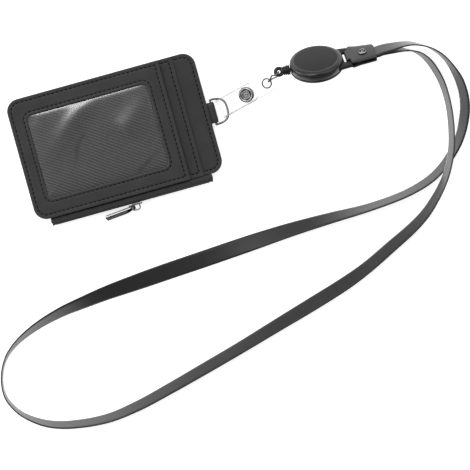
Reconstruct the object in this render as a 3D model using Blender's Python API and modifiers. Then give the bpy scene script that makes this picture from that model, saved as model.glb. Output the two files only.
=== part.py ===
"""Retractable badge holder: a zipped card case on a D-ring and snap strap, a wire link and ribbed fitting on
the pull cord of a spring reel, and a woven ribbon lanyard held to the reel by a riveted leather fob.

Lengths are in metres. The case lies on its back: its back face is z = 0, its length runs along X.
"""

import math

import bmesh
import bpy
import numpy as np
from mathutils import Matrix, Vector

# Driving dimensions of the card case.
CASE_LENGTH = 0.115
CASE_HEIGHT = 0.0732
HALF_X = CASE_LENGTH / 2
HALF_Y = CASE_HEIGHT / 2
CASE_CORNER = 0.0075
GAP = 0.0003
LEAF = 0.0008
SHEET = 0.0003
WINDOW_LEAF = 0.0009
POCKET_DEPTH = 0.0026
WINDOW_PANEL_STEP = 0.021
SLOT_PANEL_STEP = 0.0126
WINDOW_PANEL_RIGHT = HALF_X - WINDOW_PANEL_STEP
SLOT_PANEL_RIGHT = HALF_X - SLOT_PANEL_STEP
WINDOW_SIDE = 0.0102
WINDOW_NEAR = 0.01
WINDOW_BELOW = 0.0109
WINDOW_ABOVE = 0.0112
WINDOW_LEFT = -HALF_X + WINDOW_SIDE
WINDOW_RIGHT = WINDOW_PANEL_RIGHT - WINDOW_NEAR
WINDOW_LOW = -HALF_Y + WINDOW_BELOW
WINDOW_HIGH = HALF_Y - WINDOW_ABOVE
WINDOW_CORNER = 0.003
EDGE_CORNER = 0.0006
REAR_OUTER_STEP = 0.0226
REAR_INNER_STEP = 0.0106
WELT_WIDTH = 0.003
WELT_SHORT = 0.0073
WELT_PATCH = 0.011

# Driving dimensions of the zip.
ZIP_REACH = 0.004
ZIP_PLANE_Y = -HALF_Y - ZIP_REACH
ZIP_END_STEP = 0.01
TEETH_HALF_LENGTH = HALF_X - ZIP_END_STEP
TAPE_TAIL = 0.0018
TAPE_HALF_LENGTH = TEETH_HALF_LENGTH + TAPE_TAIL
TAPE_THICK = 0.0005
TAPE_EDGE = 0.0023
TAPE_RISE = 0.00145
TAPE_ARC = 0.0012
TAPE_INSIDE = 0.0066
TOOTH_WIDTH = 0.0009
TOOTH_PITCH = 0.0024
TOOTH_REACH = 0.0003
SPINE_IN = 0.0013
SPINE_OUT = 0.0019
TOOTH_TALL = 0.0014
PARTING = 0.0008
SLIDER_X = 0.0012
SLIDER_HALF = 0.0042
SLIDER_PLATE = 0.0009
SLIDER_LEFT_HALF = 0.0039
SLIDER_RIGHT_HALF = 0.0033
FLANGE_WIDTH = 0.0006
FLANGE_DROP = 0.00045
NECK_HALF = 0.0002
NECK_LENGTH = 0.0016
BRIDGE_REACH = 0.0035
BRIDGE_THICK = 0.0008
PULL_LENGTH = 0.0166
PULL_WIDTH = 0.0038
PULL_THICK = 0.0011
PULL_LEAN = math.radians(5.0)
PULL_ROLL = math.radians(20.0)
PULL_OFFSET = 0.0016
STOP_LENGTH = 0.0014

# Driving dimensions of the D-ring and its tab.
RING_WIRE = 0.0013
RING_REACH = 0.0025
RING_BAR_X = HALF_X + RING_REACH
RING_CENTRE_Y = -0.0018
RING_HALF_WIDTH = 0.00745
RING_BOW = 0.0086
RING_FULLNESS = 2.9
RING_STEPS = 20
TAB_WIDTH = 0.0125
TAB_Y = -0.002
TAB_INSIDE = 0.0075
TAB_INNER_X = HALF_X - TAB_INSIDE
TAB_LEAF_OFFSET = 0.00055

# Driving dimensions of the snap strap.
STRAP_REACH = 0.0038
STRAP_FOLD_Y = -0.0013
STRAP_FOLD_Z = 0.00285
STRAP_TURN = math.radians(13.2)
STRAP_PITCH = math.radians(18.5)
STRAP_WIDTH = 0.0117
STRAP_THICK = 0.0006
STRAP_LENGTH = 0.0394
FLAP_SHORT = 0.0122
FLAP_LENGTH = STRAP_LENGTH - FLAP_SHORT
LOOP_HALF_HEIGHT = 0.002
LOOP_NOSE = 0.0017
LOOP_END = 0.0125
LEAF_OFFSET = 0.0005
SNAP_END = 0.0077
SNAP_X = FLAP_LENGTH - SNAP_END
SNAP_RADIUS = 0.0046
SNAP_RING = 0.0034
SNAP_POST = 0.0022
SNAP_PIN = 0.0012
SNAP_TALL = 0.0011
SNAP_DISH = 0.0004
SNAP_BEVEL = 0.0005
SNAP_FOOT = 0.0009
EYELET_END = 0.0058
EYELET_X = STRAP_LENGTH - EYELET_END
EYELET_OUTER = 0.0032
EYELET_HOLE = 0.0023
EYELET_HALF_THICK = 0.0006
EYELET_BEVEL = 0.00025

# Driving dimensions of the reel.
REEL_RADIUS = 0.0158
REEL_THICK = 0.0072
REEL_DIP = math.radians(55.0)
REEL_STRIKE = math.radians(-7.5)
REEL_TURN = math.radians(6.0)
REEL_WALL = 0.0015
REEL_RIM = 0.003
REEL_ROUND = 0.0013
REEL_RECESS = 0.0008
REEL_FLOOR = 0.0012
REEL_FACE_WALL = 0.0009
REEL_EDGE_BEVEL = 0.0007
SCREW_HEAD = 0.0026
SCREW_BORE = 0.0014
SCREW_SINK = 0.0007
SCREW_DROP = 0.0004
REEL_REAR_HIGH = 0.0018
FACE_DISC_THICK = 0.0004
EAR_THICK = 0.0018
EAR_ROOT_HALF = 0.011
EAR_END_HALF = 0.00975
EAR_END_X = 0.0206
EAR_SLOT_IN = 0.0162
EAR_SLOT_OUT = 0.0188
EAR_SLOT_HALF = 0.0051
EAR_CORNER = 0.0016
SPOOL_RADIUS = 0.012
SPOOL_HUB = 0.0085
SPOOL_BORE = 0.0019
SPOOL_WEB = 0.0005
SPOOL_LIP = 0.0004
SPOOL_WALL = 0.0006
AXLE_RADIUS = 0.0015
SPRING_TURNS = 5
SPRING_INNER = 0.0026
SPRING_OUTER = 0.0072
SPRING_BAND = 0.00025
CORD_RADIUS = 0.0004
CORD_START = 0.01195
CORD_Z = -0.0002
BUSH_HALF = 0.0008
BUSH_PROUD = 0.0004
BUSH_RADIUS = 0.0012
BUSH_BORE = 0.00075

# Driving dimensions of the ribbed fitting and the wire link.
FITTING_START = 0.0165
FITTING_LENGTH = 0.0043
FITTING_RADIUS = 0.0031
FITTING_END_RADIUS = 0.0026
FITTING_RIBS = 4
RIB_DEPTH = 0.00035
FITTING_NECK = 0.0008
KNOT_CAVITY = 0.00115
KNOT_DEPTH = 0.0029
KNOT_RADIUS = 0.0008
HEAD_CENTRE = 0.0227
HEAD_MAJOR = 0.0021
HEAD_TUBE = 0.00105
LINK_WIRE = 0.0009
LINK_HEAD_HALF = 0.0023
LINK_END_HALF = 0.0016
LINK_HEAD_REACH = 0.0019
LINK_TWIST_HEAD = math.radians(8.0)
LINK_TWIST_MOST = math.radians(34.0)
LINK_END_REACH = 0.0013
LINK_STEPS = 12
LINK_SPAN_X = 0.0086322
LINK_SPAN_Y = 0.0046026

# Driving dimensions of the fob, its rivet and the ribbon.
FOB_THICK = 0.0009
FOB_TONGUE_HALF = 0.0045
FOB_SHOULDER_X = 0.0199
FOB_END_X = 0.0355
FOB_WIDE_HALF = 0.0095
FOB_END_HALF = 0.0071
FOB_LEAF_OFFSET = 0.0018
FOB_FOLD_X = 0.0179
FOB_NOSE = 0.001
FOB_STEP = 0.0002
RIVET_X = 0.028
RIVET_RADIUS = 0.0028
RIVET_POST = 0.0012
RIVET_CAP = 0.0006
RIBBON_WIDTH = 0.01
RIBBON_THICK = 0.0009
RIBBON_START = 0.0296
RIBBON_OFFSET = 0.0006
RIBBON_STEPS = 150
RIBBON_LEAD = 0.001
ROUTE_REEL_X = 0.12619
ROUTE_REEL_Y = 0.00918

# The ribbon's route: x, y and height of its middle line in millimetres, and its roll in degrees, for a reel
# whose middle is at ROUTE_REEL_X and ROUTE_REEL_Y.
# It starts and ends at the fob, lies about a loop on the floor and crosses over itself once.
ROUTE = [
    (165.2, 7.4, 11.5, 56),
    (171.0, 7.3, 10.7, 59),
    (178.3, 7.0, 9.5, 69),
    (184.1, 5.9, 8.5, 77),
    (189.0, 3.7, 7.6, 85),
    (193.7, 0.6, 6.8, 91),
    (198.2, -4.0, 6.1, 97),
    (201.6, -9.8, 5.7, 102),
    (203.7, -15.8, 5.4, 109),
    (205.1, -21.5, 5.1, 116),
    (205.6, -27.6, 4.9, 119),
    (205.3, -33.4, 4.8, 121),
    (204.0, -39.6, 4.7, 123),
    (201.5, -45.9, 4.7, 123),
    (198.5, -51.8, 4.7, 121),
    (194.3, -57.8, 4.8, 120),
    (188.4, -63.9, 4.8, 119),
    (181.6, -69.4, 4.8, 118),
    (174.4, -73.6, 4.8, 118),
    (164.8, -76.9, 4.9, 117),
    (152.2, -79.3, 4.9, 116),
    (131.6, -80.7, 4.8, 119),
    (109.8, -80.6, 4.4, 131),
    (84.6, -81.0, 3.5, 146),
    (53.9, -82.6, 1.8, 168),
    (29.1, -84.1, 0.7, 180),
    (9.3, -85.2, 1.2, 186),
    (-10.2, -86.5, 2.4, 199),
    (-29.1, -87.9, 3.5, 214),
    (-44.3, -89.7, 4.1, 225),
    (-58.4, -91.7, 4.6, 235),
    (-73.6, -95.6, 4.9, 245),
    (-86.0, -100.8, 5.1, 254),
    (-94.7, -106.8, 5.2, 262),
    (-99.8, -113.5, 5.2, 267),
    (-102.7, -121.0, 5.2, 268),
    (-103.5, -128.4, 5.2, 266),
    (-102.1, -134.9, 5.2, 262),
    (-96.3, -143.9, 5.2, 257),
    (-84.3, -152.7, 5.0, 248),
    (-69.8, -157.4, 4.9, 243),
    (-48.8, -159.5, 4.7, 239),
    (-29.3, -157.2, 4.5, 234),
    (-9.2, -152.6, 4.4, 231),
    (10.4, -147.6, 4.2, 228),
    (37.7, -140.4, 4.1, 226),
    (61.7, -133.6, 3.9, 222),
    (84.6, -127.2, 3.6, 217),
    (108.1, -120.2, 3.7, 219),
    (123.9, -114.2, 4.1, 225),
    (141.1, -106.0, 4.3, 228),
    (154.3, -99.6, 5.2, 232),
    (164.8, -93.1, 6.9, 237),
    (173.6, -85.2, 9.9, 243),
    (179.7, -78.3, 13.2, 247),
    (183.8, -72.3, 15.4, 249),
    (187.1, -66.1, 15.9, 250),
    (189.7, -60.0, 15.0, 250),
    (191.8, -53.2, 13.2, 251),
    (193.6, -45.5, 11.2, 251),
    (194.9, -36.9, 9.6, 252),
    (195.3, -28.9, 8.6, 252),
    (194.8, -20.5, 8.0, 251),
    (193.1, -13.0, 7.8, 251),
    (190.8, -6.8, 7.9, 253),
    (187.5, -1.8, 8.2, 260),
    (183.0, 1.7, 8.6, 271),
    (177.4, 3.9, 9.2, 283),
    (171.4, 5.5, 10.0, 297),
    (165.2, 6.4, 10.7, 304),
]

# Heights that follow from the thicknesses.
REAR_OUTER_Z = 0.0
REAR_INNER_Z = REAR_OUTER_Z + LEAF + GAP
REAR_COVER_Z = REAR_INNER_Z + LEAF + GAP
POCKET_Z = REAR_COVER_Z + LEAF
FRONT_BASE_Z = POCKET_Z + POCKET_DEPTH
SLOT_PANEL_Z = FRONT_BASE_Z + LEAF + GAP
LINING_Z = SLOT_PANEL_Z + LEAF + GAP
SHEET_Z = LINING_Z + SHEET + GAP
WINDOW_PANEL_Z = SHEET_Z + SHEET + GAP
MID_Z = POCKET_Z + POCKET_DEPTH / 2

OBJECT_NAME = "retractable_badge_holder"
MILLI = 0.001
WELD = 1e-7


def clear_scene() -> None:
    """Removes every object of the starting scene."""
    for obj in list(bpy.data.objects):
        bpy.data.objects.remove(obj, do_unlink=True)


def new_collection(name: str) -> bpy.types.Collection:
    """Makes a collection in the scene."""
    made = bpy.data.collections.new(name)
    bpy.context.scene.collection.children.link(made)
    return made


def new_material(name: str, colour: tuple, metallic: float, roughness: float) -> bpy.types.Material:
    """Makes a Principled material."""
    made = bpy.data.materials.new(name)
    made.use_nodes = True
    shader = made.node_tree.nodes["Principled BSDF"]
    shader.inputs["Base Color"].default_value = (*colour, 1.0)
    shader.inputs["Metallic"].default_value = metallic
    shader.inputs["Roughness"].default_value = roughness
    made.diffuse_color = (*colour, 1.0)
    return made


clear_scene()
PARTS = new_collection(OBJECT_NAME)
CUTTERS = new_collection("cutters")


def place(obj: bpy.types.Object, colour: tuple, metallic: float = 0.0, roughness: float = 0.6,
          parent: bpy.types.Object = None, matrix: Matrix = None) -> bpy.types.Object:
    """Puts a finished piece into the parts collection with its own material, parent and placing."""
    PARTS.objects.link(obj)
    obj.data.materials.append(new_material(obj.name + "_finish", colour, metallic, roughness))
    obj.parent = parent
    if matrix is not None:
        obj.matrix_local = matrix
    return obj


def cutter(obj: bpy.types.Object, parent: bpy.types.Object = None, matrix: Matrix = None) -> bpy.types.Object:
    """Puts a tool body of a Boolean into the cutters collection."""
    CUTTERS.objects.link(obj)
    obj.hide_render = True
    obj.display_type = "WIRE"
    obj.parent = parent
    if matrix is not None:
        obj.matrix_local = matrix
    return obj


def frame_empty(name: str, matrix: Matrix) -> bpy.types.Object:
    """Makes an empty that carries the pieces of one frame."""
    obj = bpy.data.objects.new(name, None)
    PARTS.objects.link(obj)
    obj.matrix_world = matrix
    return obj


def boolean(obj: bpy.types.Object, tool: bpy.types.Object, operation: str) -> None:
    """Adds an exact Boolean to an object."""
    modifier = obj.modifiers.new(operation.lower(), "BOOLEAN")
    modifier.operation = operation
    modifier.solver = "EXACT"
    modifier.object = tool


def flat_curve(name: str, loops: list, half: float) -> bpy.types.Object:
    """Fills closed outlines in the local XY plane and extrudes them by half a thickness both ways."""
    curve = bpy.data.curves.new(name, "CURVE")
    curve.dimensions = "2D"
    curve.fill_mode = "BOTH"
    curve.extrude = half
    for loop in loops:
        spline = curve.splines.new("POLY")
        spline.points.add(len(loop) - 1)
        for point, (x, y) in zip(spline.points, loop):
            point.co = (x, y, 0.0, 1.0)
        spline.use_cyclic_u = True
    return bpy.data.objects.new(name, curve)


def as_mesh(obj: bpy.types.Object) -> bpy.types.Object:
    """Turns a curve object that no collection holds into a welded mesh object of the same name."""
    bpy.context.scene.collection.objects.link(obj)
    bpy.context.view_layer.update()
    evaluated = obj.evaluated_get(bpy.context.evaluated_depsgraph_get())
    mesh = bpy.data.meshes.new_from_object(evaluated)
    name = obj.name
    bpy.data.objects.remove(obj, do_unlink=True)
    work = bmesh.new()
    work.from_mesh(mesh)
    bmesh.ops.remove_doubles(work, verts=work.verts, dist=WELD)
    bmesh.ops.recalc_face_normals(work, faces=work.faces)
    work.to_mesh(mesh)
    work.free()
    mesh.materials.clear()
    return bpy.data.objects.new(name, mesh)


def tube(name: str, points: np.ndarray, radius: float, closed: bool) -> bpy.types.Object:
    """Makes a round wire through points."""
    curve = bpy.data.curves.new(name, "CURVE")
    curve.dimensions = "3D"
    curve.bevel_depth = radius
    curve.bevel_resolution = 2
    curve.use_fill_caps = not closed
    spline = curve.splines.new("POLY")
    spline.points.add(len(points) - 1)
    spline.points.foreach_set("co", np.column_stack([points, np.ones(len(points))]).ravel())
    spline.use_cyclic_u = closed
    return bpy.data.objects.new(name, curve)


def lathe(name: str, profile: list, steps: int, closed: bool = False) -> bpy.types.Object:
    """Turns a profile of (radius, height) about local Z with a Screw modifier."""
    mesh = bpy.data.meshes.new(name)
    edges = [(i, i + 1) for i in range(len(profile) - 1)]
    if closed:
        edges.append((len(profile) - 1, 0))
    mesh.from_pydata([(r, 0.0, z) for r, z in profile], edges, [])
    obj = bpy.data.objects.new(name, mesh)
    screw = obj.modifiers.new("turn", "SCREW")
    screw.axis = "Z"
    screw.steps = steps
    screw.render_steps = steps
    screw.use_merge_vertices = True
    screw.merge_threshold = WELD
    screw.use_smooth_shade = False
    return obj


def grid(name: str, rows: np.ndarray, thickness: float) -> bpy.types.Object:
    """Makes a sheet from rows of points, shaped (rows, columns, 3), thickened with Solidify."""
    count, wide, _ = rows.shape
    index = np.arange(count * wide).reshape(count, wide)
    faces = np.stack([index[:-1, :-1], index[1:, :-1], index[1:, 1:], index[:-1, 1:]], axis=-1).reshape(-1, 4)
    mesh = bpy.data.meshes.new(name)
    mesh.from_pydata(rows.reshape(-1, 3).tolist(), [], faces.tolist())
    obj = bpy.data.objects.new(name, mesh)
    solid = obj.modifiers.new("thickness", "SOLIDIFY")
    solid.thickness = thickness
    solid.offset = 0.0
    solid.use_even_offset = True
    solid.use_quality_normals = True
    return obj


def rounded(left: float, low: float, right: float, high: float, radii: tuple, steps: int = 5) -> list:
    """Outline of a rectangle with four corner radii, from low left, counterclockwise."""
    corners = [(left, low, 1, 1, 180.0), (right, low, -1, 1, 270.0), (right, high, -1, -1, 0.0),
               (left, high, 1, -1, 90.0)]
    points = []
    for (x, y, sx, sy, start), radius in zip(corners, radii):
        for step in range(steps + 1):
            angle = math.radians(start + 90.0 * step / steps)
            points.append((x + radius * (sx + math.cos(angle)), y + radius * (sy + math.sin(angle))))
    return points


def circle(x: float, y: float, radius: float, steps: int) -> list:
    """Points of a circle."""
    turn = [2 * math.pi * step / steps for step in range(steps)]
    return [(x + radius * math.cos(a), y + radius * math.sin(a)) for a in turn]


def strip_outline(path: np.ndarray, thickness: float) -> list:
    """Outline of a strip of one thickness along a path in a plane."""
    along = np.gradient(path, axis=0)
    along /= np.linalg.norm(along, axis=1)[:, None]
    side = np.column_stack([-along[:, 1], along[:, 0]]) * thickness / 2
    return [tuple(p) for p in np.concatenate([path + side, (path - side)[::-1]])]


def spline_through(points: np.ndarray, count: int) -> np.ndarray:
    """Points at even steps along a smooth curve through rows of x, y, z and roll."""
    steps = np.linalg.norm(np.diff(points[:, :3], axis=0), axis=1)
    at = np.concatenate([[0.0], np.cumsum(steps)])
    slope = np.empty_like(points)
    slope[1:-1] = (points[2:] - points[:-2]) / (at[2:] - at[:-2])[:, None]
    slope[0] = (points[1] - points[0]) / steps[0]
    slope[-1] = (points[-1] - points[-2]) / steps[-1]
    wanted = np.linspace(0.0, at[-1], count)
    k = np.clip(np.searchsorted(at, wanted) - 1, 0, len(steps) - 1)
    h = steps[k][:, None]
    s = ((wanted - at[k])[:, None]) / h
    return ((2 * s**3 - 3 * s**2 + 1) * points[k] + (s**3 - 2 * s**2 + s) * h * slope[k]
            + (3 * s**2 - 2 * s**3) * points[k + 1] + (s**3 - s**2) * h * slope[k + 1])


def plate(name: str, loops: list, low: float, thick: float, colour: tuple, metallic: float = 0.0,
          roughness: float = 0.6) -> bpy.types.Object:
    """Makes a flat leaf whose underside is at a height."""
    matrix = Matrix.Translation((0.0, 0.0, low + thick / 2))
    return place(flat_curve(name, loops, thick / 2), colour, metallic, roughness, matrix=matrix)


LEATHER = (0.035, 0.035, 0.038)
LINING = (0.05, 0.05, 0.055)
FILM = (0.8, 0.82, 0.83)
VINYL = (0.09, 0.09, 0.1)
SPOOL_WHITE = (0.75, 0.75, 0.73)
FACE_BLACK = (0.05, 0.05, 0.052)
WEBBING = (0.06, 0.06, 0.065)
STEEL = (0.62, 0.62, 0.64)
PLASTIC = (0.02, 0.02, 0.022)
CORD = (0.03, 0.03, 0.03)

# Turns a flat outline upright, so that its Y becomes height.
UPRIGHT = Matrix.Rotation(math.pi / 2, 4, "X")


def build_case() -> None:
    """Builds the leaves of the card case, the pocket welt and the window."""
    full = (CASE_CORNER, CASE_CORNER, CASE_CORNER, CASE_CORNER)
    stepped = (CASE_CORNER, CASE_CORNER, EDGE_CORNER, EDGE_CORNER)
    left_only = (CASE_CORNER, EDGE_CORNER, EDGE_CORNER, CASE_CORNER)
    window = rounded(WINDOW_LEFT, WINDOW_LOW, WINDOW_RIGHT, WINDOW_HIGH, (WINDOW_CORNER,) * 4)
    outline = rounded(-HALF_X, -HALF_Y, HALF_X, HALF_Y, full)
    outer_slot = rounded(-HALF_X, -HALF_Y, HALF_X, HALF_Y - REAR_OUTER_STEP, stepped)
    inner_slot = rounded(-HALF_X, -HALF_Y, HALF_X, HALF_Y - REAR_INNER_STEP, stepped)
    plate("rear_slot_outer", [outer_slot], REAR_OUTER_Z, LEAF, LEATHER)
    plate("rear_slot_inner", [inner_slot], REAR_INNER_Z, LEAF, LEATHER)
    plate("rear_cover", [outline], REAR_COVER_Z, LEAF, LEATHER)
    plate("front_base", [outline], FRONT_BASE_Z, LEAF, LEATHER)
    slot_panel = rounded(-HALF_X, -HALF_Y, SLOT_PANEL_RIGHT, HALF_Y, left_only)
    plate("slot_panel", [slot_panel], SLOT_PANEL_Z, LEAF, LEATHER)
    inset = WELT_WIDTH / 3
    lining = rounded(-HALF_X + inset, -HALF_Y + inset, WINDOW_PANEL_RIGHT - inset, HALF_Y - inset, left_only)
    plate("window_lining", [lining], LINING_Z, SHEET, LINING)
    margin = CASE_CORNER / 2
    sheet = rounded(WINDOW_LEFT - margin, WINDOW_LOW - margin, WINDOW_RIGHT + margin, WINDOW_HIGH + margin,
                    (WINDOW_CORNER,) * 4)
    plate("window_sheet", [sheet], SHEET_Z, SHEET, FILM, 0.0, 0.1)
    plate("window_panel", [rounded(-HALF_X, -HALF_Y, WINDOW_PANEL_RIGHT, HALF_Y, left_only), window],
          WINDOW_PANEL_Z, WINDOW_LEAF, LEATHER)
    build_welt()


def build_welt() -> None:
    """Builds the strip that joins the two covers on three sides, with a notch that lets the tab in."""
    inner = CASE_CORNER - WELT_WIDTH
    low = -HALF_Y + WELT_SHORT
    patch_left = HALF_X - WELT_PATCH
    outer_run = rounded(-HALF_X, low, HALF_X, HALF_Y, (0.0, 0.0, CASE_CORNER, CASE_CORNER))
    outer_run = outer_run[12:24]
    inner_run = rounded(-HALF_X + WELT_WIDTH, low, HALF_X - WELT_WIDTH, HALF_Y - WELT_WIDTH,
                        (0.0, 0.0, inner, inner))
    inner_run = inner_run[12:24][::-1]
    notch_low = TAB_Y - TAB_WIDTH / 2 - GAP
    notch_high = TAB_Y + TAB_WIDTH / 2 + GAP
    notch_left = TAB_INNER_X - GAP
    right = [(HALF_X - WELT_WIDTH, low), (HALF_X, low), (HALF_X, notch_low), (notch_left, notch_low),
             (notch_left, notch_high), (HALF_X, notch_high)]
    left = [(-HALF_X, low), (-HALF_X + WELT_WIDTH, low)]
    patch = [(HALF_X - WELT_WIDTH, notch_high + WELT_WIDTH), (patch_left, notch_high + WELT_WIDTH),
             (patch_left, notch_low - WELT_WIDTH), (HALF_X - WELT_WIDTH, notch_low - WELT_WIDTH)]
    loop = right + outer_run + left + inner_run + patch
    plate("pocket_welt", [loop], POCKET_Z + GAP, POCKET_DEPTH - 2 * GAP, LINING)


def parting(x: np.ndarray) -> np.ndarray:
    """How far a row of the zip stands off its closed place: nothing right of the slider, most left of it."""
    ramps = [-TEETH_HALF_LENGTH, -0.75 * TEETH_HALF_LENGTH, SLIDER_X - NECK_LENGTH / 2,
             SLIDER_X + 0.6 * SLIDER_HALF]
    return np.interp(x, ramps, [0.0, PARTING, PARTING, 0.0])


def build_zip() -> None:
    """Builds two toothed rows on two tapes, with their stops, the slider and its pull."""
    stations = np.array([-TAPE_HALF_LENGTH, -TEETH_HALF_LENGTH, -0.75 * TEETH_HALF_LENGTH,
                         -0.4 * TEETH_HALF_LENGTH, SLIDER_X - NECK_LENGTH / 2, SLIDER_X + 0.6 * SLIDER_HALF,
                         0.5 * TEETH_HALF_LENGTH, TAPE_HALF_LENGTH])
    inner_offset = POCKET_DEPTH / 2 - GAP - TAPE_THICK / 2
    for name, sign, phase in (("front", 1.0, 0.0), ("rear", -1.0, 0.5)):
        angle = np.radians(np.array([0.0, 18.0, 36.0, 54.0, 72.0, 90.0]))
        off = parting(stations)[:, None]
        arc_y = np.broadcast_to(ZIP_PLANE_Y + TAPE_ARC * (1 - np.cos(angle)), (len(stations), len(angle)))
        arc_z = TAPE_EDGE + off + (TAPE_RISE - off) * np.sin(angle)
        crest = TAPE_EDGE + TAPE_RISE
        fall = np.array([0.12, 0.3, 0.5, 0.7, 0.88, 1.0])
        start_y = ZIP_PLANE_Y + TAPE_ARC
        end_y = -HALF_Y - GAP
        bend_share = np.array([0.36, 0.6, 0.68, 0.74, 0.86, 1.0])
        fall_y = np.broadcast_to(start_y + (end_y - start_y) * bend_share, (len(stations), 6))
        ease = fall * fall * (3 - 2 * fall)
        fall_z = np.broadcast_to(crest + (inner_offset - crest) * ease, (len(stations), 6))
        flat_y = np.full((len(stations), 1), -HALF_Y + TAPE_INSIDE)
        flat_z = np.full((len(stations), 1), inner_offset)
        y = np.concatenate([arc_y, fall_y, flat_y], axis=1)
        z = MID_Z + sign * np.concatenate([arc_z, fall_z, flat_z], axis=1)
        x = np.broadcast_to(stations[:, None], y.shape)
        place(grid("zip_tape_" + name, np.stack([x, y, z], axis=-1), TAPE_THICK), LINING)
        build_teeth(name, sign, phase)
    build_stops()
    build_slider()


def build_teeth(name: str, sign: float, phase: float) -> None:
    """Builds one row of teeth as a comb along X."""
    count = int(2 * TEETH_HALF_LENGTH / TOOTH_PITCH)
    centres = -TEETH_HALF_LENGTH + TOOTH_PITCH * (np.arange(count) + 0.5 + phase)
    loop = [(-TEETH_HALF_LENGTH, sign * SPINE_OUT), (-TEETH_HALF_LENGTH, sign * SPINE_IN)]
    for centre in centres:
        shift = float(parting(centre))
        for dx, reach in ((-0.5, SPINE_IN), (-0.5, -TOOTH_REACH), (0.5, -TOOTH_REACH), (0.5, SPINE_IN)):
            loop.append((centre + dx * TOOTH_WIDTH, sign * (reach + shift)))
    end = centres[-1] + TOOTH_WIDTH / 2 + GAP
    loop.append((end, sign * SPINE_IN))
    for x in (end, SLIDER_X + 0.6 * SLIDER_HALF, SLIDER_X - NECK_LENGTH / 2, -0.75 * TEETH_HALF_LENGTH):
        loop.append((x, sign * (SPINE_OUT + float(parting(x)))))
    if sign > 0:
        loop.reverse()
    matrix = Matrix.Translation((0.0, ZIP_PLANE_Y, MID_Z)) @ UPRIGHT
    place(flat_curve("zip_teeth_" + name, [loop], TOOTH_TALL / 2), STEEL, 1.0, 0.35, matrix=matrix)


def build_stops() -> None:
    """Builds the two stops that bridge the ends of the tapes."""
    half = SPINE_OUT
    for name, x in (("zip_stop_left", -TEETH_HALF_LENGTH - GAP - STOP_LENGTH / 2),
                    ("zip_stop_right", TEETH_HALF_LENGTH + GAP + STOP_LENGTH / 2)):
        loop = rounded(x - STOP_LENGTH / 2, -half, x + STOP_LENGTH / 2, half, (STOP_LENGTH / 4,) * 4, 2)
        matrix = Matrix.Translation((0.0, ZIP_PLANE_Y, MID_Z)) @ UPRIGHT
        place(flat_curve(name, [loop], TOOTH_TALL / 2), STEEL, 1.0, 0.35, matrix=matrix)


def slider_outline(grow: float) -> list:
    """Outline of the slider's plates: wider at the left, where the rows part."""
    left = SLIDER_X - SLIDER_HALF
    right = SLIDER_X + SLIDER_HALF
    wide = SLIDER_LEFT_HALF + grow
    slim = SLIDER_RIGHT_HALF + grow
    cut = SLIDER_HALF / 4
    return [(left + cut, -wide), (right - cut, -slim), (right, -slim + cut), (right, slim - cut),
            (right - cut, slim), (left + cut, wide), (left, wide - cut), (left, cut - wide)]


def build_slider() -> None:
    """Builds the slider: two plates joined by a neck, flanges, a bridge, and the pull that hangs on it."""
    outer_y = ZIP_PLANE_Y - TOOTH_TALL / 2 - GAP - SLIDER_PLATE / 2
    inner_y = ZIP_PLANE_Y + TOOTH_TALL / 2 + GAP + SLIDER_PLATE / 2
    at_outer = Matrix.Translation((0.0, outer_y, MID_Z)) @ UPRIGHT
    at_inner = Matrix.Translation((0.0, inner_y, MID_Z)) @ UPRIGHT
    body = as_mesh(flat_curve("zipper_slider", [slider_outline(0.0)], SLIDER_PLATE / 2))
    place(body, STEEL, 1.0, 0.3, matrix=at_outer)
    inner = as_mesh(flat_curve("slider_inner", [slider_outline(-SLIDER_PLATE)], SLIDER_PLATE / 2))
    cutter(inner, matrix=at_inner)
    neck_x = SLIDER_X - SLIDER_HALF / 2
    neck_loop = rounded(neck_x - NECK_LENGTH / 2, -NECK_HALF, neck_x + NECK_LENGTH / 2, NECK_HALF,
                        (NECK_HALF / 2,) * 4, 1)
    neck = as_mesh(flat_curve("slider_neck", [neck_loop], (inner_y - outer_y) / 2))
    cutter(neck, matrix=Matrix.Translation((0.0, ZIP_PLANE_Y, MID_Z)) @ UPRIGHT)
    for tool in (neck, inner):
        boolean(body, tool, "UNION")
    for sign in (-1.0, 1.0):
        left = SLIDER_X - 0.7 * SLIDER_HALF
        right = SLIDER_X + 0.7 * SLIDER_HALF
        wide = SLIDER_LEFT_HALF
        slim = SLIDER_RIGHT_HALF
        loop = [(left, sign * (wide - FLANGE_WIDTH)), (right, sign * (slim - FLANGE_WIDTH)),
                (right, sign * slim), (left, sign * wide)]
        if sign < 0:
            loop.reverse()
        flange = as_mesh(flat_curve("slider_flange", [loop], (SLIDER_PLATE / 2 + FLANGE_DROP) / 2))
        y = outer_y + (SLIDER_PLATE / 2 + FLANGE_DROP) / 2
        cutter(flange, matrix=Matrix.Translation((0.0, y, MID_Z)) @ UPRIGHT)
        boolean(body, flange, "UNION")
    outer_face = outer_y - SLIDER_PLATE / 2
    top = outer_face - BRIDGE_REACH
    foot = outer_y
    half = 0.55 * SLIDER_HALF
    path = np.array([(-half, foot), (-half, top + BRIDGE_THICK), (-half / 2, top + BRIDGE_THICK / 2),
                     (half / 2, top + BRIDGE_THICK / 2), (half, top + BRIDGE_THICK), (half, foot)])
    bridge = as_mesh(flat_curve("slider_bridge", [strip_outline(path, BRIDGE_THICK)], BRIDGE_THICK / 2))
    cutter(bridge, matrix=Matrix.Translation((SLIDER_X, 0.0, MID_Z)))
    boolean(body, bridge, "UNION")
    build_pull(outer_face)


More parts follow.
